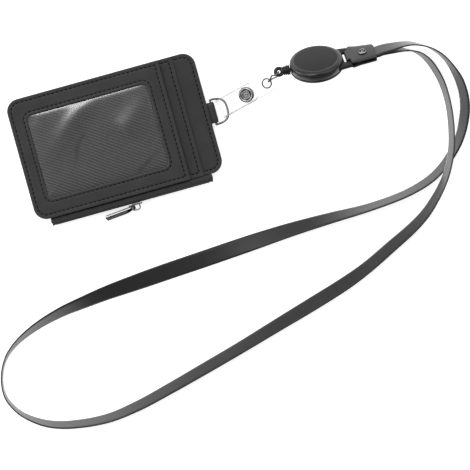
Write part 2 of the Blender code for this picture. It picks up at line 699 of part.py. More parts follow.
def build_pull(outer_face: float) -> None:
    """Builds the flat pull, whose eye rides on the slider's bridge."""
    eye = BRIDGE_THICK + GAP
    wide = PULL_WIDTH / 2
    corners = (wide * 0.9, wide * 0.5, wide * 0.5, wide * 0.9)
    loop = rounded(-PULL_LENGTH, -wide, eye + BRIDGE_THICK, wide, corners, 4)
    slot = rounded(-eye, -eye, eye, eye, (eye / 3,) * 4, 2)
    grip = rounded(-0.9 * PULL_LENGTH, -wide / 3, -0.72 * PULL_LENGTH, wide / 3, (wide / 4,) * 4, 3)
    y = outer_face - PULL_OFFSET
    matrix = (Matrix.Translation((SLIDER_X - 0.55 * SLIDER_HALF, y, MID_Z))
              @ Matrix.Rotation(PULL_LEAN, 4, "Z") @ Matrix.Rotation(-PULL_ROLL, 4, "X") @ UPRIGHT)
    place(flat_curve("zipper_pull", [loop, slot, grip], PULL_THICK / 2), STEEL, 1.0, 0.3, matrix=matrix)


def ring_points() -> np.ndarray:
    """Middle line of the D-ring: a straight bar and a full bow, in plan."""
    angle = np.linspace(-math.pi / 2, math.pi / 2, RING_STEPS)
    power = 2 / RING_FULLNESS
    x = RING_BOW * np.abs(np.cos(angle)) ** power
    y = RING_HALF_WIDTH * np.sign(np.sin(angle)) * np.abs(np.sin(angle)) ** power
    return np.column_stack([RING_BAR_X + x, RING_CENTRE_Y + y, np.full(RING_STEPS, MID_Z)])


def build_ring() -> None:
    """Builds the D-ring and the leather tab that holds its bar."""
    centre = Matrix.Translation((RING_BAR_X, RING_CENTRE_Y, MID_Z))
    points = ring_points() - np.array(centre.translation)
    place(tube("d_ring", points, RING_WIRE / 2, True), STEEL, 1.0, 0.25, matrix=centre)
    turn = RING_WIRE / 2 + 1.2 * GAP + LEAF / 2
    angle = np.linspace(math.pi / 2, -math.pi / 2, 9)
    bend = np.column_stack([RING_BAR_X + turn * np.cos(angle), turn * np.sin(angle)])
    inside_x = HALF_X + GAP
    upper = np.array([(TAB_INNER_X, TAB_LEAF_OFFSET), (inside_x, TAB_LEAF_OFFSET)])
    lower = upper[::-1] * np.array([1.0, -1.0])
    path = np.concatenate([upper, bend, lower])
    tab = flat_curve("d_ring_tab", [strip_outline(path, LEAF)], TAB_WIDTH / 2)
    place(tab, LEATHER, matrix=Matrix.Translation((0.0, TAB_Y, MID_Z)) @ UPRIGHT)


STRAP_MATRIX = (Matrix.Translation((RING_BAR_X + STRAP_REACH, STRAP_FOLD_Y, STRAP_FOLD_Z))
                @ Matrix.Rotation(STRAP_TURN, 4, "Z") @ Matrix.Rotation(-STRAP_PITCH, 4, "Y"))


def leaf_height(x: np.ndarray) -> np.ndarray:
    """Half the height of the strap's loop at a distance from the fold: full round the ring, then closing."""
    share = np.clip((x - 0.4 * LOOP_END) / (0.6 * LOOP_END), 0.0, 1.0)
    ease = share * share * (3 - 2 * share)
    return LOOP_HALF_HEIGHT + (LEAF_OFFSET - LOOP_HALF_HEIGHT) * ease


def leaf_rows(path: np.ndarray, end: float) -> np.ndarray:
    """Rows of points across a leaf along a path of x and z, narrowing to a round end."""
    half = STRAP_WIDTH / 2
    back = np.clip(half - (end - path[:, 0]), 0.0, half)
    wide = np.sqrt(np.maximum(half**2 - back**2, (0.22 * half) ** 2))
    share = np.array([-1.0, -0.5, 0.0, 0.5, 1.0])
    y = wide[:, None] * share
    x = np.broadcast_to(path[:, :1], y.shape)
    return np.stack([x, y, np.broadcast_to(path[:, 1:], y.shape)], axis=-1)


def end_stations(start: float, end: float) -> np.ndarray:
    """Distances along a leaf, closer together at its round end."""
    half = STRAP_WIDTH / 2
    plain = np.linspace(start, end - half, 10)
    curve = end - half + half * np.sin(np.radians([25.0, 45.0, 62.0, 76.0, 90.0]))
    return np.concatenate([plain, curve])


def build_strap() -> bpy.types.Object:
    """Builds the strap's long leaf with its fold, the short leaf, the snap and the eyelet."""
    frame = frame_empty("strap_frame", STRAP_MATRIX)
    nose = LOOP_NOSE + STRAP_THICK / 2
    angle = np.radians(np.linspace(90.0, 270.0, 9))
    fold = np.column_stack([nose + LOOP_NOSE * np.cos(angle), LOOP_HALF_HEIGHT * np.sin(angle)])
    low_x = end_stations(nose + 0.3 * LOOP_NOSE, STRAP_LENGTH)
    low = np.column_stack([low_x, -leaf_height(low_x)])
    long_leaf = grid("strap_long_leaf", leaf_rows(np.concatenate([fold, low]), STRAP_LENGTH), STRAP_THICK)
    place(long_leaf, VINYL, 0.0, 0.35, frame)
    high_x = end_stations(nose + STRAP_THICK / 2 + GAP, FLAP_LENGTH)
    high = np.column_stack([high_x, leaf_height(high_x)])
    flap = grid("strap_short_leaf", leaf_rows(high, FLAP_LENGTH), STRAP_THICK)
    place(flap, VINYL, 0.0, 0.35, frame)
    for obj, x, radius in ((long_leaf, EYELET_X, EYELET_HOLE + 2 * GAP), (long_leaf, SNAP_X, SNAP_PIN + GAP),
                           (flap, SNAP_X, SNAP_POST + GAP)):
        hole = as_mesh(flat_curve("strap_hole", [circle(x, 0.0, radius, 20)], SNAP_RADIUS))
        cutter(hole, frame)
        boolean(obj, hole, "DIFFERENCE")
    build_snap(frame)
    build_eyelet(frame)
    return frame


def build_snap(frame: bpy.types.Object) -> None:
    """Builds the snap: a domed cap with a hollow post, and a stud whose pin stands in the post."""
    leaf_top = LEAF_OFFSET + STRAP_THICK / 2
    under = leaf_top + GAP
    crown = under + SNAP_TALL
    cavity = SNAP_PIN + GAP
    dish = crown - SNAP_DISH
    profile = [(0.0, dish), (SNAP_RING - SNAP_BEVEL, dish),
               (SNAP_RING - SNAP_BEVEL / 2, crown - SNAP_DISH / 4), (SNAP_RING, crown),
               (SNAP_RADIUS - SNAP_BEVEL, crown - SNAP_DISH / 2), (SNAP_RADIUS, crown - SNAP_BEVEL),
               (SNAP_RADIUS, under), (SNAP_POST, under), (SNAP_POST, LEAF_OFFSET - STRAP_THICK / 2),
               (cavity, LEAF_OFFSET - STRAP_THICK / 2), (cavity, under + GAP), (0.0, under + GAP)]
    at = Matrix.Translation((SNAP_X, 0.0, 0.0))
    place(lathe("snap_cap", profile, 28), STEEL, 1.0, 0.2, frame, at)
    base = -leaf_top - GAP
    stud = [(0.0, under), (SNAP_PIN - GAP / 2, under), (SNAP_PIN, under - GAP / 2), (SNAP_PIN, base),
            (SNAP_RING + GAP, base), (SNAP_RADIUS - GAP, base - SNAP_BEVEL), (SNAP_RING, base - SNAP_FOOT),
            (0.0, base - SNAP_FOOT)]
    place(lathe("snap_stud", stud, 24), STEEL, 1.0, 0.3, frame, at)


def build_eyelet(frame: bpy.types.Object) -> None:
    """Builds the eyelet near the strap's end as a ring with a waist that grips the leaf."""
    thick = EYELET_HALF_THICK
    lip = STRAP_THICK / 2 + GAP / 2
    waist = EYELET_HOLE + GAP
    bevel = EYELET_BEVEL
    profile = [(EYELET_HOLE, 0.6 * thick), (EYELET_HOLE + bevel, thick), (EYELET_OUTER - bevel, thick),
               (EYELET_OUTER, lip), (waist, lip), (waist, -lip), (EYELET_OUTER, -lip),
               (EYELET_OUTER - bevel, -thick), (EYELET_HOLE + bevel, -thick), (EYELET_HOLE, -0.6 * thick)]
    at = Matrix.Translation((EYELET_X, 0.0, -LEAF_OFFSET))
    place(lathe("strap_eyelet", profile, 24, True), STEEL, 1.0, 0.25, frame, at)


REEL_HEIGHT = REEL_RADIUS * math.sin(REEL_DIP) + REEL_THICK / 2 * math.cos(REEL_DIP)
REEL_TURNED = (Matrix.Rotation(REEL_STRIKE, 4, "Z") @ Matrix.Rotation(-REEL_DIP, 4, "X")
               @ Matrix.Rotation(REEL_TURN, 4, "Z"))
# The reel lies where the link puts the fitting's ring head: a span away from the strap's eyelet.
EYELET_PLACE = STRAP_MATRIX @ Vector((EYELET_X, 0.0, -LEAF_OFFSET))
TO_HEAD = REEL_TURNED @ Vector((-HEAD_CENTRE, 0.0, CORD_Z))
REEL_X = EYELET_PLACE.x + LINK_SPAN_X - TO_HEAD.x
REEL_Y = EYELET_PLACE.y + LINK_SPAN_Y - TO_HEAD.y
REEL_MATRIX = Matrix.Translation((REEL_X, REEL_Y, REEL_HEIGHT)) @ REEL_TURNED


def build_reel() -> bpy.types.Object:
    """Builds the reel: two shells, face disc, axle, spool, spring, winding and the cord out of the bush."""
    frame = frame_empty("reel_frame", REEL_MATRIX)
    top = REEL_THICK / 2
    seam = -top + REEL_REAR_HIGH
    front_low = seam + GAP
    floor = -top + REEL_FLOOR
    recess = top - REEL_RECESS
    ceiling = recess - REEL_FACE_WALL
    radius = REEL_RADIUS
    inner = radius - REEL_WALL
    disc = radius - REEL_RIM
    bevel = REEL_EDGE_BEVEL
    turn = np.radians([0.0, 30.0, 60.0, 90.0])
    brow = [(radius - REEL_ROUND * (1 - math.sin(a)), top - REEL_ROUND * (1 - math.cos(a))) for a in turn]
    profile = [(0.0, recess), (disc, recess), (disc, top - bevel / 3), (disc + bevel / 3, top)] + brow
    profile += [(radius, front_low), (inner, front_low), (inner, ceiling), (0.0, ceiling)]
    front = place(lathe("reel_front_shell", profile, 56), PLASTIC, 0.0, 0.18, frame)
    build_ear(frame, front)
    bush = as_mesh(flat_curve("reel_bush", [circle(0.0, 0.0, BUSH_RADIUS, 20)], BUSH_HALF))
    sideways = Matrix.Rotation(math.pi / 2, 4, "Y")
    cutter(bush, frame, Matrix.Translation((-radius - BUSH_PROUD + BUSH_HALF, 0.0, CORD_Z)) @ sideways)
    boolean(front, bush, "UNION")
    bore = as_mesh(flat_curve("reel_bore", [circle(0.0, 0.0, BUSH_BORE, 20)], REEL_WALL * 2))
    cutter(bore, frame, Matrix.Translation((-radius, 0.0, CORD_Z)) @ sideways)
    boolean(front, bore, "DIFFERENCE")
    sink_floor = -top + SCREW_SINK
    rear = [(inner, seam), (radius, seam), (radius, -top + bevel), (radius - bevel, -top), (SCREW_HEAD, -top),
            (SCREW_HEAD, sink_floor), (SCREW_BORE, sink_floor), (SCREW_BORE, floor), (inner, floor)]
    place(lathe("reel_rear_shell", rear, 56, True), PLASTIC, 0.0, 0.25, frame)
    under = recess + GAP
    face = [(0.0, under + FACE_DISC_THICK), (disc - GAP, under + FACE_DISC_THICK), (disc - GAP, under),
            (0.0, under)]
    place(lathe("reel_face_disc", face, 48), FACE_BLACK, 0.0, 0.7, frame)
    axle_top = ceiling - GAP
    axle_low = floor + GAP
    head = -top + SCREW_DROP
    rim = SCREW_HEAD - 1.2 * GAP
    axle = [(0.0, axle_top), (AXLE_RADIUS, axle_top), (AXLE_RADIUS, axle_low), (SCREW_BORE - GAP, axle_low),
            (SCREW_BORE - GAP, head), (rim, head), (rim, head - GAP), (0.0, head - GAP)]
    place(lathe("axle_screw", axle, 24), STEEL, 1.0, 0.35, frame)
    build_spool(frame, axle_low, axle_top)
    return frame


def build_ear(frame: bpy.types.Object, front: bpy.types.Object) -> None:
    """Builds the slotted ear and joins it to the front shell."""
    root = REEL_RADIUS - REEL_WALL / 2
    reach = math.asin(EAR_ROOT_HALF / root)
    arc = [(root * math.cos(a), root * math.sin(a)) for a in np.linspace(reach, -reach, 11)]
    corner = EAR_CORNER
    end = rounded(EAR_SLOT_IN, -EAR_END_HALF, EAR_END_X, EAR_END_HALF, (0.0, corner, corner, 0.0), 3)[4:12]
    slot = rounded(EAR_SLOT_IN, -EAR_SLOT_HALF, EAR_SLOT_OUT, EAR_SLOT_HALF, (corner / 3,) * 4, 2)
    ear = as_mesh(flat_curve("reel_ear", [arc + end, slot], EAR_THICK / 2))
    cutter(ear, frame)
    boolean(front, ear, "UNION")


def build_spool(frame: bpy.types.Object, low: float, high: float) -> None:
    """Builds the spool, its coil spring, the cord wound on it and the cord that leads out to the fitting."""
    web = SPOOL_WEB
    lip = SPOOL_LIP
    wall = SPOOL_HUB - SPOOL_WALL
    profile = [(wall, high), (SPOOL_RADIUS, high), (SPOOL_RADIUS, high - lip), (SPOOL_HUB, high - lip),
               (SPOOL_HUB, low + web), (SPOOL_RADIUS, low + web), (SPOOL_RADIUS, low), (SPOOL_BORE, low),
               (SPOOL_BORE, low + web), (wall, low + web)]
    place(lathe("spool", profile, 40, True), SPOOL_WHITE, 0.0, 0.5, frame)
    bottom = low + web + GAP
    top = high - lip - GAP
    middle = (bottom + top) / 2
    inside = SPOOL_HUB + GAP
    outside = CORD_START - CORD_RADIUS
    bulge = CORD_RADIUS / 2
    winding = [(inside, top - bulge), (inside + bulge, top), (outside - bulge, top),
               (outside, middle + bulge), (outside - bulge / 2, middle), (outside, middle - bulge),
               (outside - bulge, bottom), (inside + bulge, bottom), (inside, bottom + bulge)]
    place(lathe("cord_winding", winding, 40, True), CORD, 0.0, 0.8, frame)
    turns = np.linspace(0.0, 1.0, SPRING_TURNS * 22 + 1)
    reach = SPRING_INNER + (SPRING_OUTER - SPRING_INNER) * turns
    angle = 2 * math.pi * SPRING_TURNS * turns
    x = reach * np.cos(angle)
    y = reach * np.sin(angle)
    low_edge = np.stack([x, y, np.full_like(turns, bottom + GAP)], axis=-1)
    high_edge = np.stack([x, y, np.full_like(turns, top - GAP)], axis=-1)
    rows = np.stack([low_edge, high_edge], axis=1)
    place(grid("spiral_spring", rows, SPRING_BAND), STEEL, 1.0, 0.3, frame)
    gap = (SPRING_OUTER - SPRING_INNER) / SPRING_TURNS - SPRING_BAND
    print(f"spiral spring least self-gap {gap / MILLI:.2f} mm")
    cavity_end = FITTING_START + KNOT_DEPTH
    knot = cavity_end - GAP - KNOT_RADIUS
    steps = np.radians(np.linspace(150.0, 0.0, 7))
    ball = [(KNOT_RADIUS * math.sin(a), knot + KNOT_RADIUS * math.cos(a)) for a in steps]
    lead = [(0.0, CORD_START), (CORD_RADIUS, CORD_START)] + ball[:-1] + [(0.0, knot + KNOT_RADIUS)]
    lead.reverse()
    at = Matrix.Translation((0.0, 0.0, CORD_Z)) @ Matrix.Rotation(-math.pi / 2, 4, "Y")
    place(lathe("pull_cord", lead, 12), CORD, 0.0, 0.8, frame, at)


def fitting_matrix() -> Matrix:
    """Frame of the fitting: its origin on the cord's line at the reel's middle, Z to the strap, X upwards."""
    outward = (REEL_MATRIX.to_3x3() @ Vector((-1.0, 0.0, 0.0))).normalized()
    up = Vector((0.0, 0.0, 1.0))
    up = (up - up.dot(outward) * outward).normalized()
    side = outward.cross(up)
    origin = REEL_MATRIX @ Vector((0.0, 0.0, CORD_Z))
    turned = Matrix((up, side, outward)).transposed().to_4x4()
    return Matrix.Translation(origin) @ turned


def build_fitting() -> bpy.types.Object:
    """Builds the ribbed fitting with a ring head, hollow for the cord's knot."""
    frame = frame_empty("fitting_frame", fitting_matrix())
    start = FITTING_START
    end = start + FITTING_LENGTH
    outer = []
    count = 2 * FITTING_RIBS
    for step in range(count + 1):
        share = step / count
        radius = FITTING_RADIUS + (FITTING_END_RADIUS - FITTING_RADIUS) * share
        outer.append((radius - (RIB_DEPTH if step % 2 else 0.0), start + FITTING_LENGTH * share))
    neck = FITTING_NECK
    profile = [(0.0, end + neck), (0.7 * FITTING_END_RADIUS, end + neck)] + outer[::-1]
    profile += [(BUSH_BORE, start), (BUSH_BORE, start + neck), (KNOT_CAVITY, start + neck),
                (KNOT_CAVITY, start + KNOT_DEPTH), (0.0, start + KNOT_DEPTH)]
    body = place(lathe("end_fitting", profile, 24), PLASTIC, 0.0, 0.35, frame)
    tube_ring = [(HEAD_MAJOR + HEAD_TUBE * math.cos(a), HEAD_TUBE * math.sin(a))
                 for a in np.linspace(0.0, -2 * math.pi, 12, endpoint=False)]
    head = lathe("fitting_head", tube_ring, 28, True)
    cutter(head, frame, Matrix.Translation((0.0, 0.0, HEAD_CENTRE)) @ Matrix.Rotation(math.pi / 2, 4, "Y"))
    boolean(body, head, "UNION")
    return frame


def in_plane(vector: np.ndarray, normal: np.ndarray) -> np.ndarray:
    """The unit direction of a vector within the plane across a normal."""
    flat = vector - normal * vector.dot(normal)
    return flat / np.linalg.norm(flat)


def link_points() -> np.ndarray:
    """Middle line of the wire link, from the fitting's ring head round to the strap's eyelet and back."""
    head_frame = fitting_matrix()
    head = np.array(head_frame @ Vector((0.0, 0.0, HEAD_CENTRE)))
    eyelet = np.array(STRAP_MATRIX @ Vector((EYELET_X, 0.0, -LEAF_OFFSET)))
    head_axis = np.array(head_frame.to_3x3() @ Vector((1.0, 0.0, 0.0)))
    normal = np.array(STRAP_MATRIX.to_3x3() @ Vector((0.0, 0.0, 1.0)))
    head += HEAD_MAJOR * in_plane(eyelet - head, head_axis)
    eyelet += (EYELET_HOLE + EYELET_OUTER) / 2 * in_plane(head - eyelet, normal)
    length = np.linalg.norm(eyelet - head)
    along = (eyelet - head) / length
    normal = in_plane(normal, along)
    side = np.cross(along, normal)
    length += LINK_HEAD_REACH + LINK_END_REACH
    quarter = np.radians(np.linspace(0.0, 90.0, LINK_STEPS // 2))
    wave = np.sin(quarter)
    fall = np.cos(quarter)
    at_head = np.column_stack([LINK_HEAD_REACH * (1 - fall), LINK_HEAD_HALF * wave])
    at_end = np.column_stack([length - LINK_END_HALF * (1 - wave), LINK_END_HALF * fall])
    way = np.concatenate([at_head, at_end])
    back = way[1:-1][::-1] * np.array([1.0, -1.0])
    loop = np.concatenate([way, back])
    twist = np.interp(loop[:, 0] / length, [0.0, 0.2, 0.42, 0.8, 1.0],
                      [LINK_TWIST_HEAD, LINK_TWIST_HEAD, LINK_TWIST_MOST, 0.0, 0.0])
    across = np.cos(twist)[:, None] * normal + np.sin(twist)[:, None] * side
    return head + (loop[:, :1] - LINK_HEAD_REACH) * along + loop[:, 1:] * across


def build_link() -> None:
    """Builds the wire link that joins the fitting to the eyelet."""
    points = link_points()
    middle = points.mean(axis=0)
    place(tube("wire_link", points - middle, LINK_WIRE / 2, True), STEEL, 1.0, 0.25,
          matrix=Matrix.Translation(Vector(middle)))


def build_fob(frame: bpy.types.Object) -> None:
    """Builds the leather fob folded through the ear's slot, and its rivet."""
    angle = np.radians(np.linspace(90.0, 270.0, 9))
    fold = np.column_stack([FOB_FOLD_X + FOB_NOSE * (1 + np.cos(angle)), FOB_LEAF_OFFSET * np.sin(angle)])
    step = FOB_STEP
    middle = 0.5 * (FOB_SHOULDER_X + FOB_END_X)
    xs = np.array([FOB_SHOULDER_X - step, FOB_SHOULDER_X, FOB_SHOULDER_X + 4 * step, middle,
                   FOB_END_X - 5 * step, FOB_END_X])
    taper = np.linspace(FOB_WIDE_HALF, FOB_END_HALF, 6)
    half = np.concatenate([[FOB_TONGUE_HALF, FOB_WIDE_HALF - 4 * step, FOB_WIDE_HALF], taper[3:4], taper[5:],
                           [FOB_END_HALF - 4 * step]])
    path = np.concatenate([np.column_stack([xs[::-1], np.full(6, FOB_LEAF_OFFSET)]), fold,
                           np.column_stack([xs, np.full(6, -FOB_LEAF_OFFSET)])])
    wide = np.concatenate([half[::-1], np.full(9, FOB_TONGUE_HALF), half])
    share = np.array([-1.0, -0.4, 0.4, 1.0])
    y = wide[:, None] * share
    x = np.broadcast_to(path[:, :1], y.shape)
    rows = np.stack([x, y, np.broadcast_to(path[:, 1:], y.shape)], axis=-1)
    fob = place(grid("leather_fob", rows, FOB_THICK), LEATHER, 0.0, 0.5, frame)
    hole = as_mesh(flat_curve("fob_hole", [circle(RIVET_X, 0.0, RIVET_POST + GAP, 20)], 2 * FOB_LEAF_OFFSET))
    cutter(hole, frame)
    boolean(fob, hole, "DIFFERENCE")
    outer = FOB_LEAF_OFFSET + FOB_THICK / 2 + GAP
    edge = RIVET_CAP / 3
    crown = outer + RIVET_CAP
    cap = [(RIVET_POST + GAP, crown - edge), (RIVET_POST + GAP + edge, crown), (RIVET_RADIUS - edge, crown),
           (RIVET_RADIUS, crown - edge), (RIVET_RADIUS, outer), (RIVET_POST + GAP, outer)]
    at = Matrix.Translation((RIVET_X, 0.0, 0.0))
    place(lathe("rivet_cap", cap, 24, True), STEEL, 1.0, 0.2, frame, at)
    post = [(0.0, crown - edge), (RIVET_POST, crown - edge), (RIVET_POST, -outer), (RIVET_RADIUS, -outer),
            (RIVET_RADIUS, edge - crown), (RIVET_RADIUS - edge, -crown), (0.0, -crown)]
    place(lathe("rivet_post", post, 24), STEEL, 1.0, 0.2, frame, at)


def ribbon_points() -> np.ndarray:
    """The ribbon's middle line and roll, from one leaf of the fob round the loop to the other."""
    ends = []
    for offset, roll in ((RIBBON_OFFSET, REEL_DIP), (-RIBBON_OFFSET, 2 * math.pi - REEL_DIP)):
        xs = np.linspace(RIBBON_START, FOB_END_X + RIBBON_LEAD, 3)
        rows = [(*(REEL_MATRIX @ Vector((x, 0.0, offset))), roll) for x in xs]
        ends.append(np.array(rows))
    route = np.array(ROUTE, dtype=float)
    route[:, :3] *= MILLI
    route[:, :2] += np.array([REEL_X - ROUTE_REEL_X, REEL_Y - ROUTE_REEL_Y])
    route[:, 3] = np.radians(route[:, 3])
    return spline_through(np.concatenate([ends[0], route, ends[1][::-1]]), RIBBON_STEPS)


def build_ribbon() -> None:
    """Builds the woven ribbon as a sheet that rolls about its middle line, then thickened."""
    points = ribbon_points()
    along = np.gradient(points[:, :3], axis=0)
    along /= np.linalg.norm(along, axis=1)[:, None]
    level = np.column_stack([along[:, 1], -along[:, 0], np.zeros(len(along))])
    level /= np.linalg.norm(level, axis=1)[:, None]
    rise = np.cross(level, along)
    roll = points[:, 3:]
    across = np.cos(roll) * level + np.sin(roll) * rise
    share = np.array([-0.5, 0.0, 0.5])
    rows = points[:, None, :3] + RIBBON_WIDTH * share[None, :, None] * across[:, None, :]
    place(grid("lanyard_ribbon", rows, RIBBON_THICK), WEBBING, 0.0, 0.8)
    length = np.linalg.norm(np.diff(points[:, :3], axis=0), axis=1).sum()
    print(f"ribbon length {length / MILLI:.0f} mm")


def main() -> None:
    """Builds every piece."""
    build_case()
    build_zip()
    build_ring()
    build_strap()
    reel = build_reel()
    build_fitting()
    build_link()
    build_fob(reel)
    build_ribbon()


main()
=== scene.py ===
"""Retractable badge holder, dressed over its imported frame: a zipped leather card case on a D-ring and clear
snap strap, a wire link and ribbed fitting on the pull cord of a spring reel, and a woven neck ribbon in a
leather fob.

Every surface is worked out with numpy arrays, in metres, in the frame's own coordinates.
"""

import enum
import logging
import math
from dataclasses import dataclass, field
from functools import cache

import bpy
import numpy as np
from mathutils import Matrix, Vector


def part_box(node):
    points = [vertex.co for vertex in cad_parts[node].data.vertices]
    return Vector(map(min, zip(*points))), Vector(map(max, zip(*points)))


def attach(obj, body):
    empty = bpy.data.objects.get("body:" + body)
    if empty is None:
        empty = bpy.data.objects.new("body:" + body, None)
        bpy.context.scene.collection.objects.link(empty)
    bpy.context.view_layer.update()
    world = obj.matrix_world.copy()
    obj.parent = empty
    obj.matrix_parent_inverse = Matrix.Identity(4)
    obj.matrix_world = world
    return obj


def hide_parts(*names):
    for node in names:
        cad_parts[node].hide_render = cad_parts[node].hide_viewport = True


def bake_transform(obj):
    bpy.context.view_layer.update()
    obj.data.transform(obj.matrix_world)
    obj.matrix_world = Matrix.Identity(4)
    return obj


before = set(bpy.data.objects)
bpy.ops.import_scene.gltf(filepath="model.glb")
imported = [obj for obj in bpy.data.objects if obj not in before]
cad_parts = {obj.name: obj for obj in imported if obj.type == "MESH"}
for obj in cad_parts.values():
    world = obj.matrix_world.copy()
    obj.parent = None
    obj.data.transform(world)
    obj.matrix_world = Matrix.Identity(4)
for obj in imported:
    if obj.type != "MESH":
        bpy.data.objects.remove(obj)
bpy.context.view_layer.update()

LOG = logging.getLogger("badge_holder")
GAP = 0.0003

Array = np.ndarray
Material = bpy.types.Material
Node = bpy.types.Node
Piece = bpy.types.Object
Socket = bpy.types.NodeSocket
Faces = list[list[int]]
Numbers = tuple[float, ...]


class Body(enum.Enum):
    """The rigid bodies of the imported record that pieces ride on."""

    LANYARD = "lanyard"
    REEL = "reel"
    SPOOL = "spool"
    CORD_END = "cord_end"
    FITTING = "fitting"
    LINK = "link"
    STRAP = "strap"
    FLAP = "flap"
    RING = "ring"
    CASE = "case"
    SLIDER = "slider"
    PULL = "pull"


class Weave(enum.Enum):
    """How a cloth's threads lie."""

    RIBBED = "ribbed"
    TWILL = "twill"
    TAPE = "tape"


@dataclass(frozen=True)
class Finish:
    """A surface's look.

    Attributes:
        colour: linear base colour.
        roughness: from 0, mirror, to 1, matt.
        metallic: 1 for metal.
        specular: strength of the plain reflection.
    """

    colour: tuple[float, float, float]
    roughness: float
    metallic: float = 0.0
    specular: float = 0.5


LEATHER = Finish((0.0215, 0.0215, 0.0221), 0.5, specular=0.32)
FOB_LEATHER = Finish((0.011, 0.011, 0.0115), 0.34, specular=0.5)
THREAD = Finish((0.002, 0.002, 0.0022), 0.9, specular=0.06)
LINING = Finish((0.022, 0.022, 0.0234), 0.5, specular=0.15)
TAPE = Finish((0.021, 0.021, 0.022), 0.7, specular=0.3)
RIBBON = Finish((0.0135, 0.0135, 0.0137), 0.42, specular=0.3)
CHROME = Finish((0.40, 0.40, 0.41), 0.13, metallic=1.0)
NICKEL = Finish((0.2, 0.2, 0.205), 0.2, metallic=1.0)
DARK_METAL = Finish((0.16, 0.16, 0.165), 0.25, metallic=1.0)
BLACK_METAL = Finish((0.02, 0.02, 0.02), 0.4, metallic=1.0)
STEEL = Finish((0.45, 0.45, 0.46), 0.3, metallic=1.0)
GLOSS_PLASTIC = Finish((0.009, 0.009, 0.010), 0.2, specular=0.42)
MATT_PLASTIC = Finish((0.012, 0.012, 0.013), 0.5, specular=0.2)
CORD = Finish((0.010, 0.010, 0.011), 0.8, specular=0.2)
PALE_PLASTIC = Finish((0.6, 0.6, 0.58), 0.5)
FILM = Finish((0.95, 0.95, 0.95), 0.25, metallic=1.0)
VINYL = Finish((0.80, 0.81, 0.82), 0.14)

ALONG_Y = np.array([0.0, 1.0, 0.0])
ALONG_Z = np.array([0.0, 0.0, 1.0])
WHITE = (1.0, 1.0, 1.0, 1.0)
# How bright the surround is at each height of the direction looked in, from 0, level, to 1, straight up.
SKY = ((0.0, 0.35), (0.25, 0.45), (0.5, 0.75), (0.78, 0.85), (0.9, 0.35), (0.96, 0.16), (1.0, 0.12))
POLISHED = 0.04
RIB_PITCH = 0.00075
TAPE_PITCH = 0.0005
TWILL_SLANT = math.radians(33.0)
TWILL_PITCH = 0.00165
# Painted shadows of creases behind the window: where each starts and ends, and its half width.
LINING_CREASE_SHADOWS = (
    ((-0.0165, 0.0070), (-0.0235, -0.0010), 0.0012),
    ((-0.0222, 0.0020), (-0.0255, -0.0080), 0.0015),
    ((0.0205, -0.0165), (0.0065, -0.0245), 0.0011),
)
# Folds of the window's film: where each starts, a place it runs towards, its height, half width and length.
FILM_FOLDS = (
    ((-0.0130, 0.0250), (-0.0270, 0.0110), 0.0019, 0.0056, 0.022),
    ((0.0085, 0.0040), (0.0236, 0.0173), 0.0012, 0.0068, 0.024),
    ((-0.0462, 0.0222), (-0.0362, 0.0222), 0.0004, 0.0030, 0.004),
)


class Tree:
    """A node tree under construction."""

    def __init__(self, tree: bpy.types.NodeTree) -> None:
        """Takes the tree that the nodes go into."""
        self.tree = tree

    def add(self, kind: str, **values: object) -> Node:
        """Adds a node.

        Args:
            kind: the node's type name, without its ShaderNode prefix.
            **values: attributes of the node.

        Returns:
            The new node.
        """
        node = self.tree.nodes.new("ShaderNode" + kind)
        for key, value in values.items():
            setattr(node, key, value)
        return node

    def join(self, out: Socket, into: Socket) -> None:
        """Links the socket that gives to the socket that takes."""
        self.tree.links.new(out, into)

    def maths(self, operation: str, *values: float | Socket) -> Socket:
        """One step of arithmetic.

        Args:
            operation: the Math node's operation.
            *values: numbers or sockets.

        Returns:
            The result.
        """
        node = self.add("Math", operation=operation)
        for socket, value in zip(node.inputs, values):
            if isinstance(value, (int, float)):
                socket.default_value = value
            else:
                self.join(value, socket)
        return node.outputs[0]

    def weighed(self, *pairs: tuple[Socket, float]) -> Socket:
        """The sum of sockets, each times its weight.

        Args:
            *pairs: each a socket and its weight.

        Returns:
            The sum.
        """
        total, *others = [self.maths("MULTIPLY", value, weight) for value, weight in pairs]
        for other in others:
            total = self.maths("ADD", total, other)
        return total

    def spread(self, value: Socket, near: float, far: float, low: float, high: float) -> Socket:
        """Maps a value in a straight line between two of its places, and holds it beyond them.

        Args:
            value: what is mapped.
            near: the first place.
            far: the second place.
            low: the result up to the first.
            high: the result from the second on.

        Returns:
            The result.
        """
        node = self.add("MapRange")
        for socket, number in zip(("From Min", "From Max", "To Min", "To Max"), (near, far, low, high)):
            node.inputs[socket].default_value = number
        self.join(value, node.inputs["Value"])
        return node.outputs[0]

    def ramp(self, share: Socket, stops: tuple[tuple[float, Numbers], ...]) -> Socket:
        """Maps a share from 0 to 1 to a colour.

        Args:
            share: the share.
            stops: each a place from 0 to 1 and the colour there.

        Returns:
            The colour.
        """
        node = self.add("ValToRGB")
        while len(node.color_ramp.elements) < len(stops):
            node.color_ramp.elements.new(0.5)
        for element, (place, colour) in zip(node.color_ramp.elements, stops):
            element.position = place
            element.color = (*colour, 1.0)
        self.join(share, node.inputs[0])
        return node.outputs[0]


